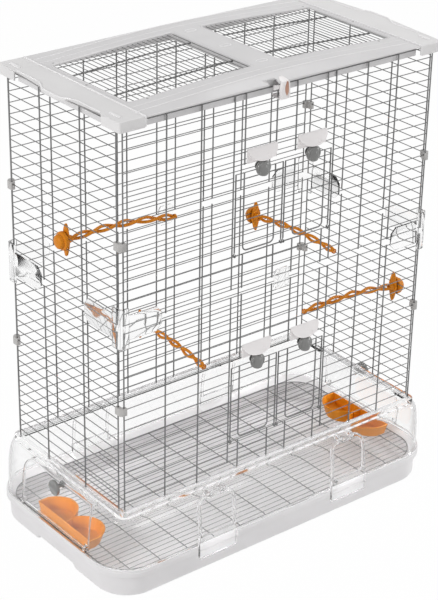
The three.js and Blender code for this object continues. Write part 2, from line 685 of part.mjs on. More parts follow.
function panelSolid(half, wires, span, door) {
  const { rows, z, doorRow } = span;
  const edge = half + WALL.upright / 2;
  const first = rows[0] - WALL.row / 2;
  const last = rows[rows.length - 1] + WALL.row / 2;
  const jamb = WALL.doorJamb;
  const below = rows.slice(0, doorRow + 1);
  const above = rows.slice(doorRow + WALL.doorRows);
  const holes = door
    ? [
      ...cellsBetween(-half, -jamb, rows), ...cellsBetween(jamb, half, rows),
      ...cellsBetween(-jamb, jamb, below), ...cellsBetween(-jamb, jamb, above),
      ...cellsBetween(-jamb, jamb, [below[below.length - 1], above[0]]),
    ]
    : cellsBetween(-half, half, rows);
  const lattice = frontPrism(rectangle([-edge, edge], [first, last]), [-wallFace, wallFace], holes);
  const tips = [];
  [-half, half].forEach((x) => {
    const range = [x - WALL.upright / 2, x + WALL.upright / 2];
    if (z[0] < first) tips.push(box(range, [-wallFace, wallFace], [z[0], first + OVERLAP]));
    if (z[1] > last) tips.push(box(range, [-wallFace, wallFace], [last - OVERLAP, z[1]]));
  });
  const full = wires.flatMap((x) => [-x, x]).map((x) => outerWire(x, rows, z));
  const short = door
    ? WALL.shortWires.flatMap((x) => [-x, x]).flatMap((x) => [
      outerWire(x, below, [z[0], below[below.length - 1] + WALL.row / 2]),
      outerWire(x, above, [above[0] - WALL.row / 2, z[1]]),
    ])
    : [];
  return join([lattice, ...tips, ...full, ...short]);
}

const wallSides = {
  front: { turn: 0, plane: SPAN.frontPlane, half: SPAN.front },
  right: { turn: QUARTER, plane: SPAN.sidePlane, half: SPAN.side },
  back: { turn: 2 * QUARTER, plane: SPAN.frontPlane, half: SPAN.front },
  left: { turn: -QUARTER, plane: SPAN.sidePlane, half: SPAN.side },
};
Object.values(wallSides).forEach((side) => {
  side.group = new THREE.Group();
  side.group.rotation.z = side.turn;
  cage.add(side.group);
  side.holder = new THREE.Group();
  side.holder.position.set(0, -side.plane, WIRE_FOOT);
  side.group.add(side.holder);
});

const backWires = [...WALL.frontWires, WALL.doorJamb, ...WALL.shortWires];
Object.entries(panelSpans).forEach(([level, span]) => {
  const side = toGeometry(panelSolid(SPAN.side, WALL.sideWires, span, false));
  const front = toGeometry(panelSolid(SPAN.front, WALL.frontWires, span, true));
  const back = toGeometry(panelSolid(SPAN.front, backWires, span, false));
  addMesh(wallSides.front.holder, `wall_front_${level}`, "wire", front);
  addMesh(wallSides.back.holder, `wall_back_${level}`, "wire", back);
  addMesh(wallSides.left.holder, `wall_left_${level}`, "wire", side);
  addMesh(wallSides.right.holder, `wall_right_${level}`, "wire", side);
});

// Doors, built for the right half of an opening and mirrored for the left half
function doorSolid({ rows, doorRow }) {
  const hinge = rows[doorRow];
  const opening = rows[doorRow + WALL.doorRows];
  const bars = rows.slice(doorRow + 1, doorRow + WALL.doorRows - 1);
  const allBars = [...bars, opening - DOOR.secondBelow, opening - DOOR.topBelow];
  const left = DOOR.inner + DOOR.edge / 2;
  const right = DOOR.outer - DOOR.edge / 2;
  const top = allBars[allBars.length - 1] + WALL.row / 2;
  const lattice = frontPrism(rectangle([DOOR.inner, DOOR.outer], [allBars[0] - WALL.row / 2, top]),
    [-wallFace, wallFace], cellsBetween(left, right, allBars));
  const legs = [left, right].map((x) => box([x - DOOR.edge / 2, x + DOOR.edge / 2],
    [-wallFace, wallFace], [hinge + DOOR.ringInner, allBars[0]]));
  const inner = WALL.shortWires[1];
  const outer = WALL.shortWires[0];
  const low = hinge + DOOR.loopLift;
  const corner = DOOR.loopCorner;
  const bend = WALL.outer / 2;
  const path = (grow) => [
    [inner - grow, top],
    ...arcPoints(inner + corner, low + corner, corner + grow, 2 * QUARTER, 3 * QUARTER, DOOR.loopSteps),
    ...arcPoints(outer - corner, low + corner, corner + grow, -QUARTER, 0, DOOR.loopSteps),
    [outer + grow, top],
  ];
  const loop = frontPrism([...path(bend), ...path(-bend).reverse()],
    [-outerFace, -wallFace - WALL.layerGap]);
  const welds = [allBars[0], allBars[allBars.length - 1]].flatMap((z) => [inner, outer].map((x) =>
    box([x - DOOR.weldHalf, x + DOOR.weldHalf], [-wallFace - WALL.layerGap - OVERLAP, -wallFace + OVERLAP],
      [z - WALL.row / 2 + REST_GAP, z + WALL.row / 2 - REST_GAP])));
  const rings = [left, right].map((x) => {
    const outline = arcPoints(0, hinge, DOOR.ringOuter, 0, 4 * QUARTER, DOOR.ringSides).slice(1);
    const hole = arcPoints(0, hinge, DOOR.ringInner, 0, 4 * QUARTER, DOOR.ringSides).slice(1);
    return sidePrism(outline, [x - DOOR.ringWidth / 2, x + DOOR.ringWidth / 2], [hole]);
  });
  return join([lattice, ...legs, loop, ...welds, ...rings]);
}

function knobSolid() {
  const knob = DOOR_KNOB;
  const front = wallFace + REST_GAP;
  const neck = front + knob.neckDepth;
  const disc = neck + knob.discDepth;
  const profile = [
    [0, -front - knob.backDepth], [knob.backRadius, -front - knob.backDepth],
    [knob.backRadius, -front], [knob.pinRadius, -front], [knob.pinRadius, front],
    [knob.neckRadius, front], [knob.neckRadius, neck], [knob.radius, neck],
    [knob.radius, disc - knob.edge], [knob.radius - knob.edge, disc], [0, disc],
  ];
  const fin = box([-knob.finWidth / 2, knob.finWidth / 2], [-knob.finLength / 2, knob.finLength / 2],
    [disc - OVERLAP, disc + knob.finDepth]);
  return toSolid(turned(profile, knob.sides)).add(fin);
}

// A housing that is square at the back and narrows to a half ellipse in front, with a sloping top
function keeperSolid() {
  const { half, height, straight, depth, steps } = KEEPER;
  const back = wallFace + WALL.layerGap + WALL.outer + REST_GAP;
  const drop = height - straight;
  const section = (share, y, top) => {
    const power = KEEPER.backPower + (2 - KEEPER.backPower) * share;
    const curve = arcPoints(0, 0, 1, 0, 2 * QUARTER, steps).map(([c, s]) => [
      -half * Math.sign(c) * Math.abs(c) ** (2 / power), drop * (1 - Math.abs(s) ** (2 / power)),
    ]);
    return [...curve, [half, top], [-half, top]].map(([x, z]) => [x, z, y]);
  };
  const shape = loft([
    section(0, back, height), section(KEEPER.middleShare, back + depth / 2, height),
    section(1, back + depth, height - KEEPER.slope),
  ]).rotateX(QUARTER);
  return toSolid(shape);
}

const knobGeometry = toGeometry(knobSolid());
const keeperGeometry = toGeometry(keeperSolid());
const knobShift = (WALL.shortWires[0] + WALL.shortWires[1]) / 2;
Object.entries(panelSpans).forEach(([level, span]) => {
  const opening = span.rows[span.doorRow + WALL.doorRows];
  const knobHeight = opening - DOOR.topBelow + WALL.row / 2 + REST_GAP + DOOR_KNOB.pinRadius;
  const rightDoor = toGeometry(doorSolid(span));
  const doors = { left: mirrored(rightDoor, true, false), right: rightDoor };
  Object.entries(doors).forEach(([name, door]) => {
    const sign = name === "left" ? -1 : 1;
    const holder = wallSides.front.holder;
    addMesh(holder, `door_${level}_${name}`, "wire", door);
    const knob = addMesh(holder, `door_knob_${level}_${name}`, "knob", knobGeometry);
    knob.rotation.x = QUARTER;
    knob.position.set(sign * knobShift, 0, knobHeight);
    const keeper = addMesh(holder, `keeper_${level}_${name}`, "white", keeperGeometry);
    keeper.position.set(sign * knobShift, 0, opening + KEEPER.above);
  });
});

// Corners: clips round the two uprights, brackets over the seam
const frontUpright = { x: SPAN.front, y: -SPAN.frontPlane };
const sideUpright = { x: SPAN.sidePlane, y: -SPAN.side };

// A clip round both uprights, just below the level of a row, with slots for the ends of that row
function clipSolid() {
  const { cover, chamfer } = CLIP;
  const front = frontUpright;
  const side = sideUpright;
  const wide = WALL.upright / 2 + REST_GAP;
  const thin = wallFace + REST_GAP;
  const outerY = front.y - thin - cover;
  const outerX = side.x + thin + cover;
  const outline = [
    [front.x - wide - cover, outerY], [outerX - chamfer, outerY], [outerX, outerY + chamfer],
    [outerX, side.y + wide + cover], [side.x - thin - cover, side.y + wide + cover],
    [side.x - thin - cover, front.y + thin + cover], [front.x - wide - cover, front.y + thin + cover],
  ];
  const holes = [
    rectangle([front.x - wide, front.x + wide], [front.y - thin, front.y + thin]),
    rectangle([side.x - thin, side.x + thin], [side.y - wide, side.y + wide]),
  ];
  const slot = [CLIP.drop - WALL.row / 2 - REST_GAP, CLIP.drop + WALL.row / 2 + REST_GAP];
  return cut(prism(outline, [-CLIP.height / 2, CLIP.height / 2], holes), [
    box([front.x - REACH, front.x], [front.y - thin, front.y + thin], slot),
    box([side.x - thin, side.x + thin], [side.y, side.y + REACH], slot),
  ]);
}

function bracketSolid() {
  const faceY = frontUpright.y - wallFace - REST_GAP;
  const faceX = sideUpright.x + wallFace + REST_GAP;
  const { bend, wrap } = BRACKET;
  const thick = BRACKET.column;
  const column = prism([
    [frontUpright.x - wrap, faceY], [frontUpright.x - wrap, faceY - thick],
    ...arcPoints(faceX - bend, faceY + bend, bend + thick, -QUARTER, 0, BRACKET.cornerSteps),
    [faceX + thick, sideUpright.y + wrap], [faceX, sideUpright.y + wrap], [faceX, faceY + bend],
    [faceX - bend, faceY],
  ].reverse(), [BRACKET.columnBottom, BRACKET.columnTop]);
  const arm = (reach, from) => {
    const end = BRACKET.end;
    const bottom = BRACKET.armBottom;
    const top = BRACKET.armTop;
    return [
      [from, bottom], [from + reach - end, bottom], [from + reach, bottom + end],
      [from + reach, top - end], [from + reach - end, top], [from, top],
    ];
  };
  const frontArm = frontPrism(
    arm(BRACKET.frontReach, 0).map(([u, z]) => [frontUpright.x - u, z]).reverse(),
    [faceY - BRACKET.arm, faceY],
  );
  const sideArm = sidePrism(
    arm(BRACKET.sideReach, 0).map(([u, z]) => [sideUpright.y + u, z]),
    [faceX, faceX + BRACKET.arm],
  );
  return join([column, frontArm, sideArm]);
}

const clip = toGeometry(clipSolid());
const bracket = toGeometry(bracketSolid());
fourCorners.forEach(([sideX, sideY]) => {
  const place = `${sideY < 0 ? "front" : "back"}_${sideX < 0 ? "left" : "right"}`;
  const clipGeometry = mirrored(clip, sideX < 0, sideY > 0);
  Object.entries(panelSpans).forEach(([level, { rows, clipRow }]) => {
    const mesh = addMesh(cage, `corner_clip_${place}_${level}`, "white", clipGeometry);
    mesh.position.z = WIRE_FOOT + rows[clipRow] - CLIP.drop;
  });
  const mesh = addMesh(cage, `corner_bracket_${place}`, "clear", mirrored(bracket, sideX < 0, sideY > 0));
  mesh.position.z = WIRE_FOOT;
});

function connectorSolid() {
  const { half, bottom, top, thickness, chamfer } = CONNECTOR;
  const outline = [
    [-half + chamfer, bottom], [half - chamfer, bottom], [half, bottom + chamfer], [half, top - chamfer],
    [half - chamfer, top], [-half + chamfer, top], [-half, top - chamfer], [-half, bottom + chamfer],
  ];
  const face = wallFace + REST_GAP;
  return frontPrism(outline, [-face - thickness, -face]);
}
const connectorGeometry = toGeometry(connectorSolid());
["front", "back"].forEach((side) => {
  addMesh(wallSides[side].holder, `seam_connector_${side}`, "clear", connectorGeometry);
});

// Perches, built along +Z of their own and laid through the wall. Their own +Y points down.
function perchRod(length, rise) {
  const { sides, rings, turns, strand, offset, tip, arch } = PERCH;
  const start = wallFace + REST_GAP + PERCH.plateDepth - OVERLAP;
  const levels = Array.from({ length: rings }, (_, k) => {
    const along = k / (rings - 1);
    const z = start + along * (length - tip);
    return { z, angle: along * turns * 2 * QUARTER, share: 1, along };
  });
  levels.push({ z: start + length, angle: turns * 2 * QUARTER, share: PERCH.tipShare, along: 1 });
  const section = levels.map(({ z, angle, share, along }) =>
    Array.from({ length: sides }, (_, k) => {
      const turn = (k / sides) * 4 * QUARTER;
      const radius = (strand + offset * Math.abs(Math.cos(turn))) * share;
      const drop = -arch * Math.sin(along * 2 * QUARTER) - rise * along;
      return [radius * Math.cos(turn + angle), radius * Math.sin(turn + angle) + drop, z];
    }));
  return toSolid(loft(section));
}

function perchSolid(length, rise) {
  const { plateHalf, plateHeight, plateShoulder, plateDepth, stemRadius, stemLength } = PERCH;
  const face = wallFace + REST_GAP;
  const wing = plateHeight / 2;
  const plate = prism([
    [-plateHalf, -plateShoulder], [0, -wing], [plateHalf, -plateShoulder],
    [plateHalf, plateShoulder], [0, wing], [-plateHalf, plateShoulder],
  ], [face, face + plateDepth]);
  const stem = turned([
    [0, -stemLength - face], [stemRadius, -stemLength - face], [stemRadius, face + OVERLAP],
    [0, face + OVERLAP],
  ], PERCH.stemSides);
  const root = turned([
    [0, face + plateDepth - OVERLAP], [PERCH.root, face + plateDepth - OVERLAP],
    [PERCH.root, face + plateDepth + PERCH.rootLength / 2],
    [PERCH.strand, face + plateDepth + PERCH.rootLength],
    [0, face + plateDepth + PERCH.rootLength],
  ], PERCH.stemSides);
  return join([perchRod(length, rise), plate, toSolid(stem), toSolid(root)]);
}

function nutSolid() {
  const face = wallFace + REST_GAP;
  const { radius, depth, bore, boreDepth, sides, rimShare, crownShare } = NUT;
  const profile = [
    [0, face + boreDepth], [bore, face + boreDepth], [bore, face], [radius, face],
    [radius, face + depth * rimShare], [NUT.crownRadius, face + depth * crownShare],
    [NUT.tipRadius, face + depth], [0, face + depth],
  ];
  return toSolid(turned(profile, sides));
}

const nutGeometry = toGeometry(nutSolid());
PERCHES.forEach(({ side, along, height, length, rise }, k) => {
  const local = { front: along, back: -along, right: along, left: -along }[side];
  const holder = wallSides[side].holder;
  const perch = addSolid(holder, `perch_${k + 1}`, "orange", perchSolid(length, rise));
  perch.rotation.x = -QUARTER;
  perch.position.set(local, 0, height);
  const nut = addMesh(holder, `perch_nut_${k + 1}`, "orange", nutGeometry);
  nut.rotation.x = QUARTER;
  nut.position.set(local, 0, height);
});

// Top cover: a plate that arches up between the end caps and rolls down to level front and back edges
function coverHeight(x, y) {
  const arch = Math.max(0, 1 - (x / COVER.capInner) ** 2) ** TOP.archPower;
  const over = Math.max(0, Math.abs(y) - COVER.depthHalf + TOP.shoulder) / TOP.shoulder;
  return TOP.edge + TOP.rise * arch * (1 - Math.min(1, over) ** TOP.shoulderPower);
}

function underCover(drop) {
  const { gridX, floor, shoulder } = TOP;
  const halfX = COVER.half + TOP.bulge + TOP.margin;
  const bends = TOP.shoulderShares.map((share) => COVER.depthHalf - shoulder * (1 - share));
  const rows = [...bends, COVER.depthHalf + TOP.margin];
  const lines = [...rows.map((y) => -y).reverse(), ...rows];
  const gridY = lines.length - 1;
  const geometry = new THREE.BoxGeometry(2 * halfX, gridY, 1, gridX, gridY, 1);
  const position = geometry.attributes.position;
  for (let k = 0; k < position.count; k += 1) {
    const x = position.getX(k);
    const y = lines[Math.round(position.getY(k) + gridY / 2)];
    position.setY(k, y);
    position.setZ(k, position.getZ(k) > 0 ? coverHeight(x, y) - drop : floor);
  }
  return toSolid(geometry);
}
const coverTop = underCover(0);
const plateSheet = coverTop.subtract(underCover(TOP.plate));
const skirtBody = underCover(TOP.skirtLap);
const tall = [TOP.floor - OVERRUN, TOP.edge + REACH];

function windowOutline(side, grow) {
  const length = COVER.windowOut - TOP.windowIn + 2 * grow;
  const middle = (side * (COVER.windowOut + TOP.windowIn)) / 2;
  return roundedOutline(length, 2 * (COVER.windowHalf + grow), TOP.windowCorner + grow, TOP.cornerSteps)
    .map(([x, y]) => [x + middle, y]);
}

// The bands behind the tops of the wires stand just inside them
function bandFace(plane) {
  return plane - wallFace - REST_GAP;
}

function coverSolid() {
  const halfX = COVER.capInner - TOP.seamGap;
  const plan = rectangle([-halfX, halfX], [-COVER.depthHalf, COVER.depthHalf]);
  const windows = [-1, 1].map((side) => prism(windowOutline(side, 0), tall));
  const plate = plateSheet.intersect(prism(plan, tall));
  const lips = join([-1, 1].map((side) => prism(windowOutline(side, TOP.lip), [TOP.lipFoot, tall[1]])))
    .intersect(coverTop);
  const skirts = [-1, 1].flatMap((side) => {
    const range = (from, to) => (side > 0 ? [from, to] : [-to, -from]);
    const depth = COVER.depthHalf;
    return [
      box([-halfX, halfX], range(depth - TOP.plate, depth), [TOP.fascia, tall[1]]).intersect(skirtBody),
      box([-halfX, halfX], range(bandFace(SPAN.frontPlane) - TOP.band, bandFace(SPAN.frontPlane)),
        [TOP.bandBottom, tall[1]]).intersect(skirtBody),
    ];
  });
  const bossShift = COVER.depthHalf - TOP.bossMargin;
  const bosses = [-1, 0, 1].map((k) => prism([
    ...arcPoints(TOP.bossHalf - TOP.bossWidth, k * bossShift, TOP.bossWidth, -QUARTER, QUARTER,
      TOP.bossSteps),
    ...arcPoints(-TOP.bossHalf + TOP.bossWidth, k * bossShift, TOP.bossWidth, QUARTER, 3 * QUARTER,
      TOP.bossSteps),
  ], [coverHeight(0, k * bossShift) - OVERRUN, coverHeight(0, k * bossShift) + TOP.bossRise]));
  return join([cut(join([plate, lips]), windows), ...skirts, ...bosses]);
}

// Outline of the right end cap, seen from above
function capOutline(inset) {
  const outer = COVER.half - inset;
  const depth = COVER.depthHalf - inset;
  const corner = TOP.corner - inset;
  const { bulge, bulgeHalf, bulgeSlope } = TOP;
  return [
    [COVER.capInner, -depth],
    ...arcPoints(outer - corner, -depth + corner, corner, -QUARTER, 0, TOP.cornerSteps),
    [outer, -bulgeHalf - bulgeSlope], [outer + bulge, -bulgeHalf], [outer + bulge, bulgeHalf],
    [outer, bulgeHalf + bulgeSlope],
    ...arcPoints(outer - corner, depth - corner, corner, 0, QUARTER, TOP.cornerSteps),
    [COVER.capInner, depth],
  ];
}

function capSolid() {
  const outer = prism(capOutline(0), tall);
  const inner = prism(capOutline(TOP.plate), tall);
  const widened = inner.add(box([COVER.capInner - OVERLAP, COVER.capInner + OVERLAP],
    [-COVER.depthHalf + TOP.plate, COVER.depthHalf - TOP.plate], tall));
  const skirt = outer.subtract(widened).intersect(skirtBody);
  const middle = COVER.depthHalf - TOP.blockLength;
  const reach = [0, COVER.half + REACH];
  const blocks = [[-COVER.half, -middle], [middle, COVER.half]].map((y) => box(reach, y,
    [TOP.capBottom, tall[1]]));
  const lip = coverTop.subtract(underCover(TOP.lipHeight)).intersect(box(reach, [-middle, middle], tall));
  const face = bandFace(SPAN.sidePlane);
  const band = box([face - TOP.band, face], [-middle, middle], [TOP.bandBottom, tall[1]])
    .intersect(skirtBody);
  return join([plateSheet.intersect(outer), skirt.intersect(join([...blocks, lip])), band]);
}

const coverMesh = addSolid(cage, "top_frame", "cover", coverSolid());
coverMesh.position.z = WIRE_FOOT;
const cap = toGeometry(capSolid());
[["left", true], ["right", false]].forEach(([name, flip]) => {
  const mesh = addMesh(cage, `top_end_cap_${name}`, "cover", mirrored(cap, flip, false));
  mesh.position.z = WIRE_FOOT;
});

// Flat wire grille under the windows
function grilleSolid() {
  const { gaps, wire, border, thickness, longWidth, longShift, longDepth } = GRILLE;
  const half = COVER.windowOut + GRILLE.lap;
  const depthHalf = COVER.windowHalf + GRILLE.lapDepth;
  const pitch = (2 * half) / gaps;
  const holes = Array.from({ length: gaps }, (_, k) => {
    const left = -half + k * pitch + (k === 0 ? border : wire / 2);
    const right = -half + (k + 1) * pitch - (k === gaps - 1 ? border : wire / 2);
    return rectangle([left, right], [-depthHalf + border, depthHalf - border]);
  });
  const sheet = prism(rectangle([-half, half], [-depthHalf, depthHalf]), [-thickness, 0], holes);
  const low = -thickness - REST_GAP;
  const foot = -thickness + OVERLAP;
  const inner = half - border;
  const beams = [-longShift, longShift].map((y) => frontPrism([
    [-half, low - longDepth], [half, low - longDepth], [half, foot], [inner, foot], [inner, low],
    [-inner, low], [-inner, foot], [-half, foot],
  ], [y - longWidth / 2, y + longWidth / 2]));
  return join([sheet, ...beams]);
}
const grille = addSolid(cage, "top_grille", "wire", grilleSolid());
grille.position.z = WIRE_FOOT + TOP.lipFoot - REST_GAP;

// White hook on the front edge of the cover
function hookSolid() {
  const face = -COVER.depthHalf - REST_GAP;
  const { half, top, bottom, thickness, lip, lipDepth } = HOOK;
  const outline = [
    [face, bottom], [face, top], [face - thickness, top], [face - thickness, bottom + lip],
    [face - thickness - lipDepth, bottom + lip], [face - thickness - lipDepth, bottom + lip / 2],
    [face - thickness, bottom],
  ];
  return sidePrism(outline.reverse(), [HOOK.shift - half, HOOK.shift + half]);
}
const hook = addSolid(cage, "hook_clip", "white", hookSolid());
hook.position.z = WIRE_FOOT;

export default cage;
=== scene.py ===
import json
import math
from types import SimpleNamespace as Sizes

import bmesh
import bpy
from mathutils import Matrix, Vector
from mathutils.geometry import delaunay_2d_cdt


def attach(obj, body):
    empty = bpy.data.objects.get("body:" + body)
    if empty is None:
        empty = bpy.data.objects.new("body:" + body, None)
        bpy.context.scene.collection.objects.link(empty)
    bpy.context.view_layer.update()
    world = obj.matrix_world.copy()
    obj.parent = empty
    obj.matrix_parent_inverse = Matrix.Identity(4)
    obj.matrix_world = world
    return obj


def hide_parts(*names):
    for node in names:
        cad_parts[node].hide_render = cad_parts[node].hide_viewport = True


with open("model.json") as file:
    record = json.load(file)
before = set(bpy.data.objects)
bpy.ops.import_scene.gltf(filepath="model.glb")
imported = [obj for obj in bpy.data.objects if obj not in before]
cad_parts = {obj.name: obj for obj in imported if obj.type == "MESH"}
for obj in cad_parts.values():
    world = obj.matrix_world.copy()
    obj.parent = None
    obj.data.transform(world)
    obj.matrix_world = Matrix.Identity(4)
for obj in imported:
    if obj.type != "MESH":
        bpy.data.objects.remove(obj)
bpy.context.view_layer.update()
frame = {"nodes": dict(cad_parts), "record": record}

# All sizes are in millimetres and are turned into metres when a mesh is made.
MILLIMETRE = 0.001
QUARTER = math.pi / 2
HALF_TURN = math.pi
TURN = 2 * math.pi
GAP = 0.3
TINY = 1e-6

# Distances in metres at which points merge, angles for shading, and shares for the round ends of wires
MERGE = 1e-6
SHEET_MERGE = 2e-6
SMOOTH = 0.6
CRISP = 0.5
ROUND = 0.9
FLAT_ANGLE = 0.02
END_SHARES = ((0.35, 0.94), (0.75, 0.66))
CORNERS = ((1, 1), (-1, 1), (-1, -1), (1, -1))

TRAY = Sizes(
    length=780, depth=420, corner=76, least_corner=1, corner_steps=16, wall=2.5, floor=3, smooth=0.7,
    rim_top=60, rim_bottom=45, under_rim=3, lower_round=1.2, groove=0.7, groove_low=5.2, groove_high=4.6,
    upper_round=2.2, upper_turn=1.4, round_steps=3, lip_high=1, lip_low=3, lip_in=1,
    ledge=47.5, ledge_width=15, ledge_lip=4, ledge_slope=2, ledge_rise=1.2, ledge_thick=3,
    under_ledge=7, under_ledge_in=1.4, foot_length=764, foot_depth=404, foot_corner=68, foot_round=7,
    foot_steps=5, foot_flat=1, growth=4, neck=1, neck_drop=2, hollow=2, hollow_rise=3, hollow_in=6,
    grip_half=60, grip_height=8, grip_depth=26, grip_blend=6, grip_step=2, grip_over=6, end_station=130,
    pocket_line=203.3, pocket_half=46, pocket_blend=2.5,
)
POCKET_SHARES = (-1, -0.6, -0.2, 0.2, 0.6, 1)
GRIP_SHARES = (-1, -0.5, 0, 0.5, 1)
GUARD = Sizes(
    flange_length=776, flange_depth=416, flange_corner=74, flange_top=63.3, flange_soft=0.6, flange_edge=0.8,
    wall_length=766, wall_depth=406, wall_corner=64, wall=2.5, fullness=2.6, arc_steps=16, least_corner=0.6,
    rail_length=715, rail_depth=362, rail_corner=15, rail_width=13, rail_bottom=158, rail_top=169.7,
    rail_round=1.2, round_share=0.3, rail_step=1, lug_root=1,
)
SOCKET = Sizes(radius=3.4, height=2.6, bore=1.7, root=0.4, waist_share=0.6, crown_share=0.8, sides=20)
LATCH = Sizes(centre=161, lug_in=12.8, lug_width=5.5, lug_size=8.4, axis_y=193.135, axis_z=154.5)
HATCH = Sizes(
    half=110, bottom=67, top=157, corner=18, side=0.7, top_gap=1.8, notch=12, notch_height=9, below=6,
    hinge_x=384.2, hinge_z=69.7, hinge_radius=2.2, hinge_sides=16, corner_steps=10, knob_height=147,
    knob_hole=4.4, hole_sides=24, lug_start=98.6, lug_width=5.5, lug_size=8.6, lug_root=0.5,
    tool_start=10, tool_reach=40, hole_reach=30, bead=1.9, bead_in=2.4, bead_low=5, bead_top=1.2,
    bead_sink=1.2,
    bead_sides=12,
)
WIRE_FOOT = 170
WALL = Sizes(
    front_half=345, side_half=160, front_plane=170, side_plane=350.5, pitch=21.15, lower_row=15.65,
    lower_rows=17, upper_row=369.8, upper_rows=18, lower_top=357.5, upper_foot=368.3, upper_top=731,
    jamb=113.2, lower_door=2, upper_door=3, door_rows=8, outer=2.35,
)
FRONT_WIRES = (258, 185.4)
SHORT_WIRES = (91.4, 22)
SIDE_WIRES = (60,)
WIRE = Sizes(row=0.85, upright=1.35, outer=1.4, sides=10, lap=1)
DOOR = Sizes(
    inner=2.6, outer=107.9, top_below=16.4, second_below=27.7, loop_lift=7, loop_corner=9, loop_steps=6,
    coil=2.35, coil_wire=1.1, coil_width=3.4, coil_stem=3, coil_steps=20, coil_sides=8,
)
GRATE = Sizes(
    ledge=47.8, pitch=12, border=0.9, wire=0.6, cross=0.95, cross_pitch=62, crosses=12, bend_share=3,
    corner_steps=12, sides=8,
)
CUP = Sizes(
    length=168, lobe=51, valley=0.38, height=27, taper=0.88, wall=2.2, floor=3, base=52.6, divider=3,
    steps=48, lip=1.4, foot=1.5, bead=0.2, bead_low=3, bead_high=2, bead_end=0.5, mouth=1, hollow=2,
    back_share=0.5, divider_start=1.5, divider_share=0.95, divider_root=1, divider_drop=3, smooth=0.7,
)
CUP_SHARES = Sizes(foot=0.015, neck=0.985, bead=1.0, rim=0.998, lip=0.99, mouth=0.98, hollow=0.02)
CUPS = {"left": (-372, -15), "right": (351, -31)}
TOP = Sizes(
    half=358, depth_half=181, edge=739, rise=11, arch_power=1.5, shoulder=26, shoulder_power=1.2, plate=2.5,
    corner=4, least_corner=1, fascia=736.4, band_bottom=718, band_gap=1.3, band=2.4, cap_inner=304,
    cap_bottom=720, block=52,
    lip_height=5, window_in=32, window_out=291, window_half=112, window_corner=6, window_round=1.2,
    window_margin=0.9, window_parts=12, lip_foot=736.2, lip=2.5, round=2.4, round_steps=4, seam_round=0.9,
    bead=1.2, bead_start=1.2, bead_width=3.6, edge_steps=24, corner_steps=6, smooth=0.55, tolerance=1e-5,
    far_bottom=1e6, face_margin=1, root=1, wire_sides=8, spot_pitch=15, spot_columns=20, bar_pitch=10,
    bar_columns=2, bar_end=120, bar_rows=20, boss_half=12, boss_width=6, boss_shift=101, boss_rise=1.1,
    boss_in=1, boss_steps=10, line_end=3, line_steps=40, line_sink=0.3, dot=2.3, dot_rise=0.15, dot_steps=16,
)
TOP_LINES = ((154.4, 1.0), (134, 0.6))
SPOT_ROWS = (128, 140, 156, 162, 168, 174)
WINDOW_GROWTHS = (2.3, 3.4, 4.5, 5.6, 8)
OVAL_SHARES = ((0, 0.5), (0.3, 0.85), (1, 1))
OVAL_STEPS = 8
SCREW_DOTS = ((-257, -119), (257, -119), (-283, 119), (283, 119), (-299, -4), (299, -4))
CAP = Sizes(
    bulge=12, bulge_half=20, bulge_slope=40, step=2.5, step_slope=1, clear=2, steps=14, corner_steps=8,
    rows=40, seam_margin=0.5, spot_start=6, spot_across=8, spot_along=6, spot_end=174, spot_columns=6,
    spot_rows=59, ridge_x=343, ridge_y=148, ridge_half=15, ridge_width=3, ridge_rise=1.8, tab_x=307,
    tab_y=160, tab_half=4, rim_line=1.3, rim_end=1, rim_width=20, seam_bead=1.7, seam_end=1,
)
GRILLE = Sizes(
    half=298, gaps=54, shift=60, clearance=0.3, wire=0.75, long=1.5, grip=1.2, sides=6, long_steps=24,
)
KEEPER = Sizes(
    half=33, height=23.2, above=4.6, plate_below=3.4, plate=2.6, plate_soft=0.5, corner=2.4, corner_steps=4,
    depth=15.4, back=4.6, steps=40, round=1.1, bowl_top=1, bowl_power=0.9, ring_x=10, ring_z=7, ring=3.4,
    ring_wire=0.4, ring_steps=20, ring_sides=6,
)
BOWL_STATIONS = ((0, 0), (0, 0.5), (0, 0.93), (0.35, 0.98), (KEEPER.round, 1))
KNOB = Sizes(
    sides=64, chamfer=1.4, chamfer_end=0.4, chamfer_rise=0.5, edge_low=1.6, edge_high=1.5, crown_drop=1,
    dome_power=3, fall_power=4, middle_share=0.7, tip=0.5, tuck=0.5,
)
KNOB_SHARES = (0.995, 0.97, 0.93, 0.87, 0.8, 0.72, 0.63, 0.54, 0.45, 0.36, 0.27, 0.18, 0.1, 0.03)
DOOR_KNOB = Sizes(
    back=2.4, back_radius=8, back_round=0.6, pin=4, neck=6, neck_depth=6.5, radius=15, disc=5, dome=10.5,
    rib=2.2, scoop=10, scoop_reach=10, front=1.3, x=56.7, below=11.1,
)
HATCH_KNOB = Sizes(
    inner=361.2, flange=2.6, flange_radius=7, flange_round=0.5, stem=4, face=378.9, disc=5.8, radius=15,
    dome=4.6, rib=2.6, scoop=5.5, scoop_reach=9,
)
PERCH = Sizes(
    start=5.2, strand=2.9, strand_sides=12, offset=4.2, turns=2.5, steps=60, arch=8, tip=6, tip_sides=16,
    pinch_start=0.94, pinch_share=0.6, face=1.3, plate=4, plate_half=11, plate_height=31, plate_power=1.7,
    plate_round=0.8, plate_soft=1.2, plate_edge=1, plate_steps=40, hub=7.4, hub_length=9, hub_flat=3,
    hub_share=0.8, hub_sides=32, stem=5.5, stem_length=12.3,
)
NUT = Sizes(radius=17, depth=16, bore=5.9, bore_depth=12.6, soft=0.8, grips=14, grip_sides=6, centre=0.5)
# Radius, share of the depth, and depth of the grip grooves
NUT_STATIONS = (
    (NUT.radius, 0.3, 0), (NUT.radius * 0.97, 0.38, 0), (13.6, 0.46, 0.7), (13.2, 0.74, 0.7),
    (12, 0.86, 0.4), (9.8, 0.95, 0), (6.8, 1, 0), (NUT.centre, 1, 0),
)
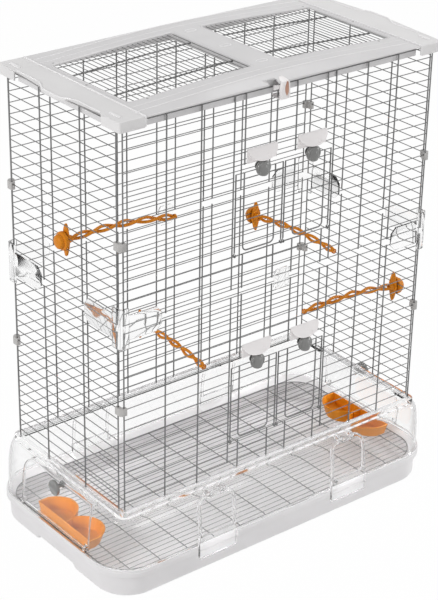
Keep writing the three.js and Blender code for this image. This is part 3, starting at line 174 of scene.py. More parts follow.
# Side, place along it, height, length and rise towards the inner end
PERCHES = (
    ("left", 5, 468.5, 235, -17), ("back", 66, 149.6, 204, -7), ("back", -221, 304.7, 236, 11),
    ("right", -107, 220.2, 231, 13),
)
HOOK = Sizes(
    x=-16, half=11, top=744.5, bottom=708, face=185, thick=4, back=0.6, lip=5, steps=14, ease=1.6,
    ease_power=2.4, waist_share=0.93, tip_share=0.35, soft=1.6, soft_power=0.6, soft_steps=8, floor=2,
    floor_start=1, floor_end=6, lip_start=4, rib=1.7, rib_start=1, rib_end=6, rib_lean=2.5, rib_sink=0.4,
    rib_steps=10, rib_sides=12, smooth=0.8, leaf=13.5, leaf_half=4.4, leaf_shift=3.2, leaf_lift=5,
    leaf_sides=32,
)
LEAF_STATIONS = ((1, -0.6), (1, 0.3), (0.8, 0.5), (0.4, 0.6))
NOTCH = Sizes(start=-49, end=-28, face=190, depth=20, low=733, high=742.5)
NOTCH_STOP = Sizes(width=10, over=2, front=4, back=8, below=6, above=1)
SOFT_WIDTHS = {"corner_clip": 0.8, "corner_bracket": 0.8, "seam_connector": 0.8, "base_latch": 0.7}

# Colours at the ends of a slow cloud, roughness at the ends of a fine one, and values of the shader
LOOKS = {
    "frosted_plastic": dict(
        low=(0.88, 0.865, 0.875), high=(0.92, 0.905, 0.915), rough=(0.34, 0.45),
        Transmission_Weight=0.12, Coat_Weight=0.3, Coat_Roughness=0.12),
    "cover_plastic": dict(low=(0.63, 0.62, 0.625), high=(0.67, 0.66, 0.665), rough=(0.3, 0.4)),
    # A lighter copy of the cover plastic for the end caps, which are the same plastic: painted light
    "cap_plastic_painted_lighter": dict(low=(0.7, 0.69, 0.69), high=(0.74, 0.73, 0.73), rough=(0.3, 0.4)),
    "white_plastic": dict(low=(0.86, 0.83, 0.83), high=(0.9, 0.87, 0.87), rough=(0.28, 0.38)),
    "knob_plastic": dict(
        low=(0.17, 0.17, 0.165), high=(0.21, 0.21, 0.205), rough=(0.2, 0.28),
        Coat_Weight=0.8, Coat_Roughness=0.12),
    "orange_plastic": dict(
        low=(0.68, 0.22, 0.006), high=(0.78, 0.27, 0.01), rough=(0.36, 0.48),
        Specular_IOR_Level=0.18, Transmission_Weight=0.12),
    "wire": dict(
        low=(0.15, 0.15, 0.15), high=(0.22, 0.22, 0.22), rough=(0.26, 0.36), grain=700,
        relief=0.25, Metallic=0.6),
    # Dark warm colour for the hook's leaf: painted shade with a warm reflected tone in a recess
    "leaf": dict(low=(0.42, 0.2, 0.13), high=(0.6, 0.36, 0.27), rough=(0.4, 0.5)),
    # A darker copy of the white plastic for the corner clips: painted shade from the wires around them
    "clip_plastic_painted_shade": dict(low=(0.42, 0.41, 0.4), high=(0.5, 0.49, 0.48), rough=(0.28, 0.38)),
    # A lighter copy of the cover plastic for raised lines, rings and ridges: painted highlight
    "cover_painted_highlight": dict(low=(0.8, 0.79, 0.795), high=(0.84, 0.83, 0.835), rough=(0.25, 0.34)),
}
# The grazing colour darkens the clear plastic towards its outline: a painted dark reflection
CLEAR = Sizes(
    facing=(0.98, 0.98, 0.98), grazing=(0.42, 0.42, 0.43), start=0.4, end=1.0, blend=0.5, grain=60,
    detail=2.0, rough=(0.02, 0.07), relief=0.04, relief_depth=0.0006, shadow=(0.98, 0.98, 0.98, 1),
)
CLEAR_SHADER = {"Transmission Weight": 1, "IOR": 1.2, "Coat Weight": 0.5, "Coat Roughness": 0.05}
CLOUD_SCALE = 14
FINE_SCALE = 900
FINE_DETAIL = 4.0
RELIEF = 0.12
RELIEF_DEPTH = 0.0002
WHITE = (1, 1, 1, 1)

# Floor, lamps and camera, in metres
FLOOR_SIZE = 6.0
FLOOR_GLOW = 0.985
FLOOR_SHADER = {"Base Color": (0.8, 0.8, 0.8, 1), "Roughness": 0.9, "Specular IOR Level": 0.1}
WORLD_STRENGTH = 0.4
# Name, place, aim, size and power
LAMPS = (
    ("key", (-3.3, -0.3, 1.9), (0, 0, 0.45), 1.1, 55),
    ("fill", (0.9, -3.1, 0.5), (0, 0, 0.25), 1.6, 19),
    ("side", (3.0, -1.3, 1.5), (0, 0, 0.45), 0.7, 26),
    ("top", (0.9, 0.2, 3.0), (0, 0, 0.4), 1.6, 21),
)
CAMERA = Sizes(
    target=(-0.1401, -0.1703, 0.5281), back=(-0.5615, -0.6978, 0.4446), distance=3.1554, lens=108.26,
    sensor=36, roll=1.136,
)


# Lines and rings
def turns(count):
    return [TURN * k / count for k in range(count)]


def spaced(low, high, steps):
    """Numbers at even steps from low to high."""
    return [low + (high - low) * k / steps for k in range(steps + 1)]


def quarter_steps(steps, first=0):
    """Sine and cosine at even steps of a quarter turn."""
    angles = [QUARTER * k / steps for k in range(first, steps + 1)]
    return [(math.sin(angle), math.cos(angle)) for angle in angles]


def arc(cx, cy, radius, start, end, steps):
    return [
        (cx + radius * math.cos(start + (end - start) * k / steps),
         cy + radius * math.sin(start + (end - start) * k / steps))
        for k in range(steps + 1)
    ]


def circle(radius, height, sides):
    return [(radius * math.cos(angle), radius * math.sin(angle), height) for angle in turns(sides)]


def rounded_box(half_x, half_y, corner, steps, middle=(0, 0)):
    """A rectangle with round corners."""
    points = []
    for k, (sx, sy) in enumerate(CORNERS):
        cx = middle[0] + sx * (half_x - corner)
        cy = middle[1] + sy * (half_y - corner)
        points += arc(cx, cy, corner, k * QUARTER, (k + 1) * QUARTER, steps)
    return points


def blended(value, low, high):
    """0 below low, 1 above high and a smooth change between."""
    share = min(1.0, max(0.0, (value - low) / (high - low)))
    return share * share * (3 - 2 * share)


# Meshes
class Skin:
    """Points and faces of one piece, gathered in millimetres."""

    def __init__(self):
        self.points = []
        self.faces = []

    def grid(self, rings, loop=False):
        """Faces between closed rings with equal point counts."""
        start = len(self.points)
        count = len(rings[0])
        for ring in rings:
            self.points.extend(ring)
        for level in range(len(rings) if loop else len(rings) - 1):
            below = start + level * count
            above = start + ((level + 1) % len(rings)) * count
            for k in range(count):
                turn = (k + 1) % count
                self.faces.append((below + k, below + turn, above + turn, above + k))
        return start

    def loft(self, rings, capped=True):
        """A skin through closed rings, with flat ends where it is capped."""
        start = self.grid(rings, loop=not capped)
        if capped:
            count = len(rings[0])
            last = start + (len(rings) - 1) * count
            self.faces.append(tuple(reversed(range(start, start + count))))
            self.faces.append(tuple(range(last, last + count)))

    def tube(self, path, radius, sides=WIRE.sides, round_ends=True):
        """A round wire along a path."""
        path = [Vector(point) for point in path]
        ways = [(b - a).normalized() for a, b in zip(path, path[1:])]
        side = ways[0].orthogonal().normalized()
        stations = []
        for k, point in enumerate(path):
            if 0 < k < len(path) - 1:
                way = (ways[k - 1] + ways[k]).normalized()
            else:
                way = ways[0] if k == 0 else ways[-1]
            side = (side - way * side.dot(way)).normalized()
            stations.append((point, way, side, radius))
        if round_ends:
            lead, lead_way, lead_side, _ = stations[0]
            tail, tail_way, tail_side, _ = stations[-1]
            stations[0] = (lead + lead_way * radius, lead_way, lead_side, radius)
            stations[-1] = (tail - tail_way * radius, tail_way, tail_side, radius)
            for reach, share in END_SHARES:
                start = lead + lead_way * radius * (1 - reach)
                end = tail - tail_way * radius * (1 - reach)
                stations.insert(0, (start, lead_way, lead_side, radius * share))
                stations.append((end, tail_way, tail_side, radius * share))
        rings = []
        for point, way, side, size in stations:
            other = way.cross(side)
            rings.append([
                tuple(point + size * (side * math.cos(angle) + other * math.sin(angle)))
                for angle in turns(sides)
            ])
        self.loft(rings)

    def block(self, x, y, z):
        """A box between pairs of limits."""
        ring = [(x[0], y[0]), (x[1], y[0]), (x[1], y[1]), (x[0], y[1])]
        self.loft([[(a, b, height) for a, b in ring] for height in z])

    def object(self, name, look, smooth=SMOOTH, merge=MERGE):
        mesh = bpy.data.meshes.new(name)
        mesh.from_pydata([tuple(c * MILLIMETRE for c in point) for point in self.points], [], self.faces)
        return finished(name, mesh, look, smooth, merge)

    def hand_in(self, name, body, look, *nodes, smooth=SMOOTH, merge=MERGE, slot=None):
        add(self.object(name, look, smooth, merge), body, slot or look, *nodes)


def add(piece, body, slot, *nodes):
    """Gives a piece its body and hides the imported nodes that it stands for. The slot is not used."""
    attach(piece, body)
    if nodes:
        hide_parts(*nodes)


def linked(item):
    bpy.context.scene.collection.objects.link(item)
    return item


def finished(name, mesh, look, smooth, merge=MERGE):
    """An object of the mesh, shaded smooth between its sharp edges."""
    work = bmesh.new()
    work.from_mesh(mesh)
    if merge:
        bmesh.ops.remove_doubles(work, verts=work.verts, dist=merge)
    bmesh.ops.recalc_face_normals(work, faces=work.faces)
    for face in work.faces:
        face.smooth = True
    work.to_mesh(mesh)
    work.free()
    mesh.set_sharp_from_angle(angle=smooth)
    mesh.materials.clear()
    mesh.materials.append(MATERIALS[look])
    return linked(bpy.data.objects.new(name, mesh))


def refinished(piece, look):
    """The piece with its shading made again after cuts."""
    name = piece.name
    mesh = piece.data
    bpy.data.objects.remove(piece)
    return finished(name, mesh, look, CRISP)


def softened(node, look, width):
    """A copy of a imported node's mesh with its sharp edges rounded."""
    mesh = frame["nodes"][node].data.copy()
    work = bmesh.new()
    work.from_mesh(mesh)
    bmesh.ops.remove_doubles(work, verts=work.verts, dist=SHEET_MERGE)
    bmesh.ops.dissolve_limit(work, angle_limit=FLAT_ANGLE, verts=work.verts, edges=work.edges)
    sharp = [e for e in work.edges if len(e.link_faces) == 2 and e.calc_face_angle(0) > SMOOTH]
    bmesh.ops.bevel(work, geom=sharp, offset=width * MILLIMETRE, segments=2, profile=0.5,
                    affect="EDGES", clamp_overlap=True)
    work.to_mesh(mesh)
    work.free()
    return finished(node + "_shape", mesh, look, SMOOTH)


def cut_with(piece, tool, operation="DIFFERENCE"):
    """The piece after a boolean with a tool, which is then removed."""
    modifier = piece.modifiers.new("cut", "BOOLEAN")
    modifier.operation = operation
    modifier.solver = "EXACT"
    modifier.object = tool
    bpy.context.view_layer.update()
    graph = bpy.context.evaluated_depsgraph_get()
    mesh = bpy.data.meshes.new_from_object(piece.evaluated_get(graph))
    piece.modifiers.clear()
    piece.data = mesh
    bpy.data.objects.remove(tool)


# Materials
def new_material(name):
    material = bpy.data.materials.new(name)
    material.use_nodes = True
    tree = material.node_tree
    tree.nodes.clear()
    output = tree.nodes.new("ShaderNodeOutputMaterial")
    shader = tree.nodes.new("ShaderNodeBsdfPrincipled")
    tree.links.new(shader.outputs["BSDF"], output.inputs["Surface"])
    return material, tree, shader, output


def set_inputs(node, values):
    for key, value in values.items():
        node.inputs[key.replace("_", " ")].default_value = value


def coloured(tree, kind, **values):
    """The output of a node with the given inputs set."""
    node = tree.nodes.new(kind)
    set_inputs(node, values)
    return node.outputs[0]


def surface_noise(tree, scale, detail=3.0):
    coordinates = tree.nodes.new("ShaderNodeTexCoord")
    noise = tree.nodes.new("ShaderNodeTexNoise")
    set_inputs(noise, {"Scale": scale, "Detail": detail})
    tree.links.new(coordinates.outputs["Object"], noise.inputs["Vector"])
    return noise.outputs["Fac"]


def ramp(tree, source, low, high, start=0.3, end=0.7):
    node = tree.nodes.new("ShaderNodeValToRGB")
    for element, place, colour in zip(node.color_ramp.elements, (start, end), (low, high)):
        element.position = place
        element.color = (*colour, 1)
    tree.links.new(source, node.inputs["Fac"])
    return node.outputs["Color"]


def spread(tree, source, limits):
    node = tree.nodes.new("ShaderNodeMapRange")
    set_inputs(node, {"To Min": limits[0], "To Max": limits[1]})
    tree.links.new(source, node.inputs["Value"])
    return node.outputs["Result"]


def bump(tree, source, shader, strength, distance):
    node = tree.nodes.new("ShaderNodeBump")
    set_inputs(node, {"Strength": strength, "Distance": distance})
    tree.links.new(source, node.inputs["Height"])
    tree.links.new(node.outputs["Normal"], shader.inputs["Normal"])


def mix_shaders(tree, share, first, second, output):
    """A mix of two shaders, sent to the output."""
    mix = tree.nodes.new("ShaderNodeMixShader")
    for source, goal in zip((share, first, second), mix.inputs):
        tree.links.new(source, goal)
    tree.links.new(mix.outputs["Shader"], output.inputs["Surface"])


def plastic(name, low, high, rough, grain=FINE_SCALE, relief=RELIEF, **settings):
    material, tree, shader, _ = new_material(name)
    cloud = surface_noise(tree, CLOUD_SCALE)
    fine = surface_noise(tree, grain, FINE_DETAIL)
    tree.links.new(ramp(tree, cloud, low, high), shader.inputs["Base Color"])
    tree.links.new(spread(tree, fine, rough), shader.inputs["Roughness"])
    bump(tree, fine, shader, relief, RELIEF_DEPTH)
    set_inputs(shader, settings)
    return material


def clear_plastic(name):
    """Clear plastic that lets lamp light through, with a painted dark reflection that darkens it a little
    towards its outline.
    """
    material, tree, shader, output = new_material(name)
    set_inputs(shader, CLEAR_SHADER)
    fine = surface_noise(tree, CLEAR.grain, CLEAR.detail)
    weight = tree.nodes.new("ShaderNodeLayerWeight")
    set_inputs(weight, {"Blend": CLEAR.blend})
    painted_edge_reflection = ramp(tree, weight.outputs["Facing"], CLEAR.facing, CLEAR.grazing, CLEAR.start, CLEAR.end)
    tree.links.new(painted_edge_reflection, shader.inputs["Base Color"])
    tree.links.new(spread(tree, fine, CLEAR.rough), shader.inputs["Roughness"])
    bump(tree, fine, shader, CLEAR.relief, CLEAR.relief_depth)
    clear = coloured(tree, "ShaderNodeBsdfTransparent", Color=CLEAR.shadow)
    path = tree.nodes.new("ShaderNodeLightPath")
    mix_shaders(tree, path.outputs["Is Shadow Ray"], shader.outputs["BSDF"], clear, output)
    return material


MATERIALS = {name: plastic(name, **look) for name, look in LOOKS.items()}
MATERIALS["clear_plastic"] = clear_plastic("clear_plastic")


# Wire walls
LOWER_ROWS = [WALL.lower_row + k * WALL.pitch for k in range(WALL.lower_rows)]
UPPER_ROWS = [WALL.upper_row + k * WALL.pitch for k in range(WALL.upper_rows)]
PANELS = {
    "lower": (LOWER_ROWS, 0, WALL.lower_top, WALL.lower_door),
    "upper": (UPPER_ROWS, WALL.upper_foot, WALL.upper_top, WALL.upper_door),
}
SIDES = {
    "front": (WALL.front_half, lambda u, out, z: (u, -WALL.front_plane - out, WIRE_FOOT + z)),
    "back": (WALL.front_half, lambda u, out, z: (-u, WALL.front_plane + out, WIRE_FOOT + z)),
    "right": (WALL.side_half, lambda u, out, z: (WALL.side_plane + out, u, WIRE_FOOT + z)),
    "left": (WALL.side_half, lambda u, out, z: (-WALL.side_plane - out, -u, WIRE_FOOT + z)),
}
SIGNS = {"left": -1, "right": 1}


def wall_panel(side, level):
    half, place = SIDES[side]
    rows, foot, top, door = PANELS[level]
    skin = Skin()
    jamb = WALL.jamb
    lap = WIRE.lap
    front = side == "front"
    bottom_row = rows[door]
    top_row = rows[door + WALL.door_rows]

    def uprights(places, out, spans, radius):
        for x in places:
            for u in (-x, x):
                for low, high in spans:
                    skin.tube([place(u, out, low), place(u, out, high)], radius)

    for row in rows:
        spans = [(-half, half)]
        if front and bottom_row < row < top_row:
            spans = [(-half, -jamb), (jamb, half)]
        for start, end in spans:
            skin.tube([place(start, 0, row), place(end, 0, row)], WIRE.row)
    uprights((half,), 0, [(foot, top)], WIRE.upright)
    if front:
        uprights((jamb,), 0, [(rows[0] - lap, rows[-1] + lap)], WIRE.upright)
    if side in SIGNS:
        full = SIDE_WIRES
    else:
        full = FRONT_WIRES if front else FRONT_WIRES + SHORT_WIRES + (jamb,)
    uprights(full, WALL.outer, [(foot, top)], WIRE.outer)
    if front:
        uprights(SHORT_WIRES, WALL.outer, [(foot, bottom_row + lap), (top_row - lap, top)], WIRE.outer)
    name = f"wall_{side}_{level}"
    skin.hand_in(name + "_wires", "cage", "wire", name, merge=0)


def door(level, side):
    rows, _, _, first = PANELS[level]
    sign = SIGNS[side]
    place = SIDES["front"][1]
    hinge = rows[first]
    opening = rows[first + WALL.door_rows]
    bars = rows[first + 1:first + WALL.door_rows - 1]
    bars = bars + [opening - DOOR.second_below, opening - DOOR.top_below]
    top = bars[-1] + WIRE.lap
    skin = Skin()
    for z in bars:
        skin.tube([place(sign * DOOR.inner, 0, z), place(sign * DOOR.outer, 0, z)], WIRE.row)
    coil = DOOR.coil
    for u in (DOOR.inner, DOOR.outer):
        path = [place(sign * u, 0, top), place(sign * u, 0, hinge + coil + DOOR.coil_stem)]
        for k in range(DOOR.coil_steps + 1):
            angle = QUARTER + TURN * k / DOOR.coil_steps
            shift = DOOR.coil_width * (k / DOOR.coil_steps - 0.5)
            path.append(place(sign * u + shift, coil * math.cos(angle), hinge + coil * math.sin(angle)))
        skin.tube(path[:2], WIRE.upright)
        skin.tube(path[1:], DOOR.coil_wire, sides=DOOR.coil_sides)
    outer, inner = SHORT_WIRES
    low = hinge + DOOR.loop_lift
    corner = DOOR.loop_corner
    path = [(inner, top)]
    path += arc(inner + corner, low + corner, corner, HALF_TURN, 3 * QUARTER, DOOR.loop_steps)
    path += arc(outer - corner, low + corner, corner, 3 * QUARTER, TURN, DOOR.loop_steps)
    path += [(outer, top)]
    skin.tube([place(sign * u, WALL.outer, z) for u, z in path], WIRE.outer)
    name = f"door_{level}_{side}"
    skin.hand_in(name + "_wires", name, "wire", name, merge=0)


for side_name in SIDES:
    for level_name in PANELS:
        wall_panel(side_name, level_name)
for level_name in PANELS:
    for side_name in SIGNS:
        door(level_name, side_name)


# Wire floor
def floor_wires():
    skin = Skin()
    inset = TRAY.ledge_width + GRATE.border
    half_x = TRAY.length / 2 - inset
    half_y = TRAY.pocket_line - inset
    corner = TRAY.corner - inset
    level = GRATE.ledge + GRATE.border
    outline = [(x, y, level) for x, y in rounded_box(half_x, half_y, corner, GRATE.corner_steps)]
    skin.tube(outline + outline[:1], GRATE.border, round_ends=False)

    def reach(value, half, other_half):
        over = max(0.0, abs(value) - (half - corner))
        return other_half - corner + math.sqrt(max(0.0, corner * corner - over * over))

    count = int(2 * half_y / GRATE.pitch)
    for y in spaced(-half_y, half_y, count)[1:-1]:
        x = reach(y, half_y, half_x)
        skin.tube([(-x, y, level), (x, y, level)], GRATE.wire, sides=GRATE.sides)
    rise = GRATE.wire + GRATE.cross
    bend = GRATE.bend_share * rise
    for k in range(GRATE.crosses):
        x = (k - (GRATE.crosses - 1) / 2) * GRATE.cross_pitch
        y = reach(x, half_x, half_y)
        skin.tube([(x, -y, level), (x, bend - y, level + rise), (x, y - bend, level + rise), (x, y, level)],
                  GRATE.cross, sides=GRATE.sides)
    skin.hand_in("floor_grate_wires", "cage", "wire", "floor_grate", merge=0)


floor_wires()


# Tray, built from rings that dip in behind the latches
def tray_ring(inset, z, part="rim", lifted=False):
    if part == "rim":
        length, depth, corner = TRAY.length, TRAY.depth, TRAY.corner
    else:
        grow = TRAY.growth * min(1.0, z / TRAY.rim_bottom)
        length = TRAY.foot_length + grow
        depth = TRAY.foot_depth + grow
        corner = TRAY.foot_corner + grow / 2
    return dipped_ring(length - 2 * inset, depth - 2 * inset, max(TRAY.least_corner, corner - inset), z,
                       TRAY.pocket_line - inset, lifted)


def dipped_ring(length, depth, corner, z, pocket_line, lifted=False):
    half_x = length / 2 - corner
    half_y = depth / 2 - corner
    near = LATCH.centre - TRAY.pocket_half
    far = LATCH.centre + TRAY.pocket_half
    blend = TRAY.pocket_blend
    stations = [edge + blend * share for edge in (near, far) for share in POCKET_SHARES]
    xs = sorted([-x for x in stations] + [0.0] + stations)
    grips = [TRAY.grip_half + TRAY.grip_blend * share for share in GRIP_SHARES] + [TRAY.end_station]
    ys = sorted([-y for y in grips] + [0] + grips)
    steps = TRAY.corner_steps

    def y_at(x):
        mask = blended(abs(x), near - blend, near + blend) - blended(abs(x), far - blend, far + blend)
        return min(depth / 2, depth / 2 + (pocket_line - depth / 2) * mask)

    def z_at(y):
        if not lifted:
            return z
        span = TRAY.grip_half
        return z + TRAY.grip_height * (1 - blended(abs(y), span - TRAY.grip_blend, span + TRAY.grip_blend))

    points = [(x, y, z) for x, y in arc(half_x, half_y, corner, 0, QUARTER, steps)]
    points += [(x, y_at(x), z) for x in reversed(xs)]
    points += [(x, y, z) for x, y in arc(-half_x, half_y, corner, QUARTER, HALF_TURN, steps)]
    points += [(-length / 2, y, z_at(y)) for y in reversed(ys)]
    points += [(x, y, z) for x, y in arc(-half_x, -half_y, corner, HALF_TURN, 3 * QUARTER, steps)]
    points += [(x, -y_at(x), z) for x in xs]
    points += [(x, y, z) for x, y in arc(half_x, -half_y, corner, 3 * QUARTER, TURN, steps)]
    points += [(length / 2, y, z_at(y)) for y in ys]
    return points


def tray_piece():
    """The tray's skin: under the foot, up the outside, over the rim, and down to the floor inside."""
    bottom = TRAY.rim_bottom
    top = TRAY.rim_top
    ledge = TRAY.ledge
    wall = TRAY.wall
    foot = TRAY.foot_round
    grip = TRAY.grip_depth
    lip_edge = TRAY.ledge_width + TRAY.ledge_lip
    hollow = wall + TRAY.hollow
    rings = [
        tray_ring(grip + TRAY.grip_step, 0, "foot"),
        tray_ring(grip, 0, "foot", True),
        tray_ring(foot + TRAY.foot_flat, 0, "foot", True),
    ]
    for sine, cosine in quarter_steps(TRAY.foot_steps):
        rings.append(tray_ring(foot * (1 - sine), foot * (1 - cosine), "foot", True))
    rings += [
        tray_ring(0, bottom / 2, "foot"),
        tray_ring(0, bottom - TRAY.neck_drop, "foot"),
        tray_ring(-TRAY.neck, bottom, "foot"),
        tray_ring(TRAY.under_rim, bottom),
    ]
    for sine, cosine in quarter_steps(TRAY.round_steps):
        rings.append(tray_ring(TRAY.lower_round * (1 - sine), bottom + TRAY.lower_round * (1 - cosine)))
    rings += [
        tray_ring(0, top - TRAY.groove_low),
        tray_ring(TRAY.groove, top - TRAY.groove_high),
        tray_ring(TRAY.groove, top - TRAY.upper_round),
    ]
    for sine, cosine in quarter_steps(TRAY.round_steps, 1):
        inset = TRAY.groove + TRAY.upper_turn * (1 - cosine)
        rings.append(tray_ring(inset, top - TRAY.upper_round * (1 - sine)))
    rings += [
        tray_ring(wall, top - TRAY.lip_high),
        tray_ring(wall + TRAY.lip_in, top - TRAY.lip_low),
        tray_ring(TRAY.ledge_width - TRAY.ledge_slope, ledge + TRAY.ledge_rise),
        tray_ring(TRAY.ledge_width, ledge),
        tray_ring(lip_edge, ledge),
        tray_ring(lip_edge, ledge - TRAY.ledge_thick),
        tray_ring(wall + TRAY.under_ledge_in, ledge - TRAY.under_ledge, "foot"),
        tray_ring(wall, TRAY.grip_height + wall + TRAY.grip_over, "foot"),
        tray_ring(hollow, TRAY.floor + TRAY.hollow_rise, "foot", True),
        tray_ring(wall + TRAY.hollow_in, TRAY.floor, "foot", True),
        tray_ring(grip + hollow, TRAY.floor, "foot"),
    ]
    skin = Skin()
    skin.loft(rings)
    skin.hand_in("tray_shape", "cage", "frosted_plastic", "tray", smooth=TRAY.smooth)


tray_piece()


# Guard
def outward_share(height_share):
    return max(0.0, 1 - height_share ** GUARD.fullness) ** (1 / GUARD.fullness)


def guard_ring(share, z, offset):
    length = GUARD.rail_length + (GUARD.wall_length - GUARD.rail_length) * share
    depth = GUARD.rail_depth + (GUARD.wall_depth - GUARD.rail_depth) * share
    corner = GUARD.rail_corner + (GUARD.wall_corner - GUARD.rail_corner) * share
    corner = max(GUARD.least_corner, corner + offset)
    return dipped_ring(length + 2 * offset, depth + 2 * offset, corner, z, depth)


def guard_arc(offset):
    rise = GUARD.rail_bottom - GUARD.flange_top + offset
    rings = []
    for k in range(GUARD.arc_steps + 1):
        height = math.sin(QUARTER * k / GUARD.arc_steps) ** (2 / GUARD.fullness)
        share = outward_share(height)
        rings.append(guard_ring(share, GUARD.flange_top + rise * height, offset * share))
    return rings


def hatch_outline(side, bottom, top, notch):
    half = HATCH.half - side
    corner = HATCH.corner - side
    points = [(-half, bottom), (half, bottom)]
    if notch:
        lift = bottom + HATCH.notch_height
        step = half - HATCH.notch
        points = [(-half, lift), (-step, lift), (-step, bottom), (step, bottom), (step, lift), (half, lift)]
    steps = HATCH.corner_steps
    points += arc(half - corner, top - corner, corner, 0, QUARTER, steps)
    points += arc(-half + corner, top - corner, corner, QUARTER, HALF_TURN, steps)
    return points


def end_prism(points, side):
    near = side * (GUARD.rail_length / 2 - GUARD.rail_width / 2)
    far = side * (TRAY.length / 2 + HATCH.tool_reach)
    skin = Skin()
    skin.loft([[(near, y, z) for y, z in points], [(far, y, z) for y, z in points]])
    return skin.object("hatch_tool", "clear_plastic")


def guard_piece():
    skin = Skin()
    foot = TRAY.rim_top + GAP
    rail = GUARD.rail_round
    part = rail * GUARD.round_share
    top = GUARD.rail_top
    width = GUARD.rail_width
    wall = GUARD.wall

    def flange(inset, z):
        return dipped_ring(GUARD.flange_length - 2 * inset, GUARD.flange_depth - 2 * inset,
                           GUARD.flange_corner - inset, z, TRAY.pocket_line - inset)

    rings = [
        flange(GUARD.flange_soft, foot), flange(0, foot + GUARD.flange_soft),
        flange(0, GUARD.flange_top - GUARD.flange_edge), flange(GUARD.flange_edge, GUARD.flange_top),
    ]
    rings += guard_arc(0)
    rings += [
        guard_ring(0, GUARD.rail_bottom + GUARD.rail_step, 0), guard_ring(0, top - rail, 0),
        guard_ring(0, top - part, -part), guard_ring(0, top, -rail),
        guard_ring(0, top, rail - width), guard_ring(0, top - part, part - width),
        guard_ring(0, top - rail, -width), guard_ring(0, GUARD.rail_bottom - wall, -width),
    ]
    rings += list(reversed(guard_arc(-wall)))
    rings.append(guard_ring(1, foot, -wall))
    skin.loft(rings, capped=False)
    piece = skin.object("guard_shape", "clear_plastic", smooth=CRISP)
    for side in SIGNS.values():
        cut_with(piece, end_prism(hatch_outline(0, HATCH.bottom, HATCH.top, False), side))
    add(refinished(piece, "clear_plastic"), "cage", "clear_plastic", "guard")


def guard_fittings():
    """Lugs for the latches and hatches and the sockets under the upright wires."""
    skin = Skin()
    size = LATCH.lug_size / 2
    lug = HATCH.lug_size / 2
    for sx in (-1, 1):
        for sy in (-1, 1):
            for end in (-1, 1):
                near = sx * LATCH.centre + end * LATCH.lug_in
                far = near + end * LATCH.lug_width
                out = sorted((sy * (LATCH.axis_y + size), sy * (GUARD.rail_depth / 2 - GUARD.lug_root)))
                skin.block(sorted((near, far)), out, (LATCH.axis_z - size, LATCH.axis_z + size))
            y = sorted((sy * HATCH.lug_start, sy * (HATCH.lug_start + HATCH.lug_width)))
            x = (sx * HATCH.hinge_x - lug, sx * HATCH.hinge_x + lug)
            skin.block(x, y, (GUARD.flange_top - HATCH.lug_root, HATCH.hinge_z + lug))
    spots = []
    for side, (half, place) in SIDES.items():
        wires = SIDE_WIRES if side in SIGNS else FRONT_WIRES + SHORT_WIRES
        wires = wires + ((WALL.jamb,) if side == "back" else ())
        spots += [place(u, WALL.outer, 0) for x in wires for u in (-x, x)]
        spots += [place(u, 0, 0) for u in (-half, half)]
    height = SOCKET.height
    profile = [
        (SOCKET.bore, -SOCKET.root), (SOCKET.radius, -SOCKET.root),
        (SOCKET.radius, height * SOCKET.waist_share),
        (SOCKET.radius * SOCKET.crown_share, height), (SOCKET.bore, height),
    ]
    for x, y, _ in spots:
        skin.loft([
            [(x + a, y + b, GUARD.rail_top + c) for a, b, c in circle(radius, level, SOCKET.sides)]
            for radius, level in profile
        ])
    skin.hand_in("guard_fittings", "cage", "clear_plastic", smooth=CRISP)


guard_piece()
guard_fittings()


def hatch_piece(name, side):
    node = f"feeder_hatch_{name}"
    skin = Skin()
    wall = GUARD.wall
    low = GUARD.flange_top - HATCH.below
    rings = [guard_ring(1, low, 0)] + guard_arc(0)
    inner = list(reversed(guard_arc(-wall))) + [guard_ring(1, low, -wall)]
    skin.loft(rings + inner, capped=False)
    piece = skin.object(node + "_shape", "clear_plastic")
    top = HATCH.top - HATCH.top_gap
    outline = hatch_outline(HATCH.side, HATCH.bottom + HATCH.side, top, True)
    cut_with(piece, end_prism(outline, side), "INTERSECT")
    hole = Skin()
    start = side * (GUARD.rail_length / 2 - HATCH.tool_start)
    end = side * (TRAY.length / 2 + HATCH.hole_reach)
    hole.tube([(start, 0, HATCH.knob_height), (end, 0, HATCH.knob_height)], HATCH.knob_hole,
              sides=HATCH.hole_sides, round_ends=False)
    cut_with(piece, hole.object("hole_tool", "clear_plastic"))
    add(refinished(piece, "clear_plastic"), node, "clear_plastic", node)
    trim = Skin()
    bar = HATCH.lug_start + HATCH.lug_width
    x = side * HATCH.hinge_x
    pin = [(x, -bar, HATCH.hinge_z), (x, bar, HATCH.hinge_z)]
    trim.tube(pin, HATCH.hinge_radius, sides=HATCH.hinge_sides)
    rise = GUARD.rail_bottom - GUARD.flange_top
    spare = (GUARD.wall_length - GUARD.rail_length) / 2
    bead = []
    outline = hatch_outline(HATCH.side + HATCH.bead_in, HATCH.bottom + HATCH.bead_low,
                            top - HATCH.bead_top, False)
    for y, z in outline:
        share = outward_share(max(0.0, z - GUARD.flange_top) / rise)
        bead.append((side * (GUARD.rail_length / 2 + spare * share - HATCH.bead_sink), y, z))
    trim.tube(bead[1:] + bead[:1], HATCH.bead, sides=HATCH.bead_sides)
    trim.hand_in(f"hatch_pin_{name}", node, "clear_plastic")


for side_name, side_sign in SIGNS.items():
    hatch_piece(side_name, side_sign)


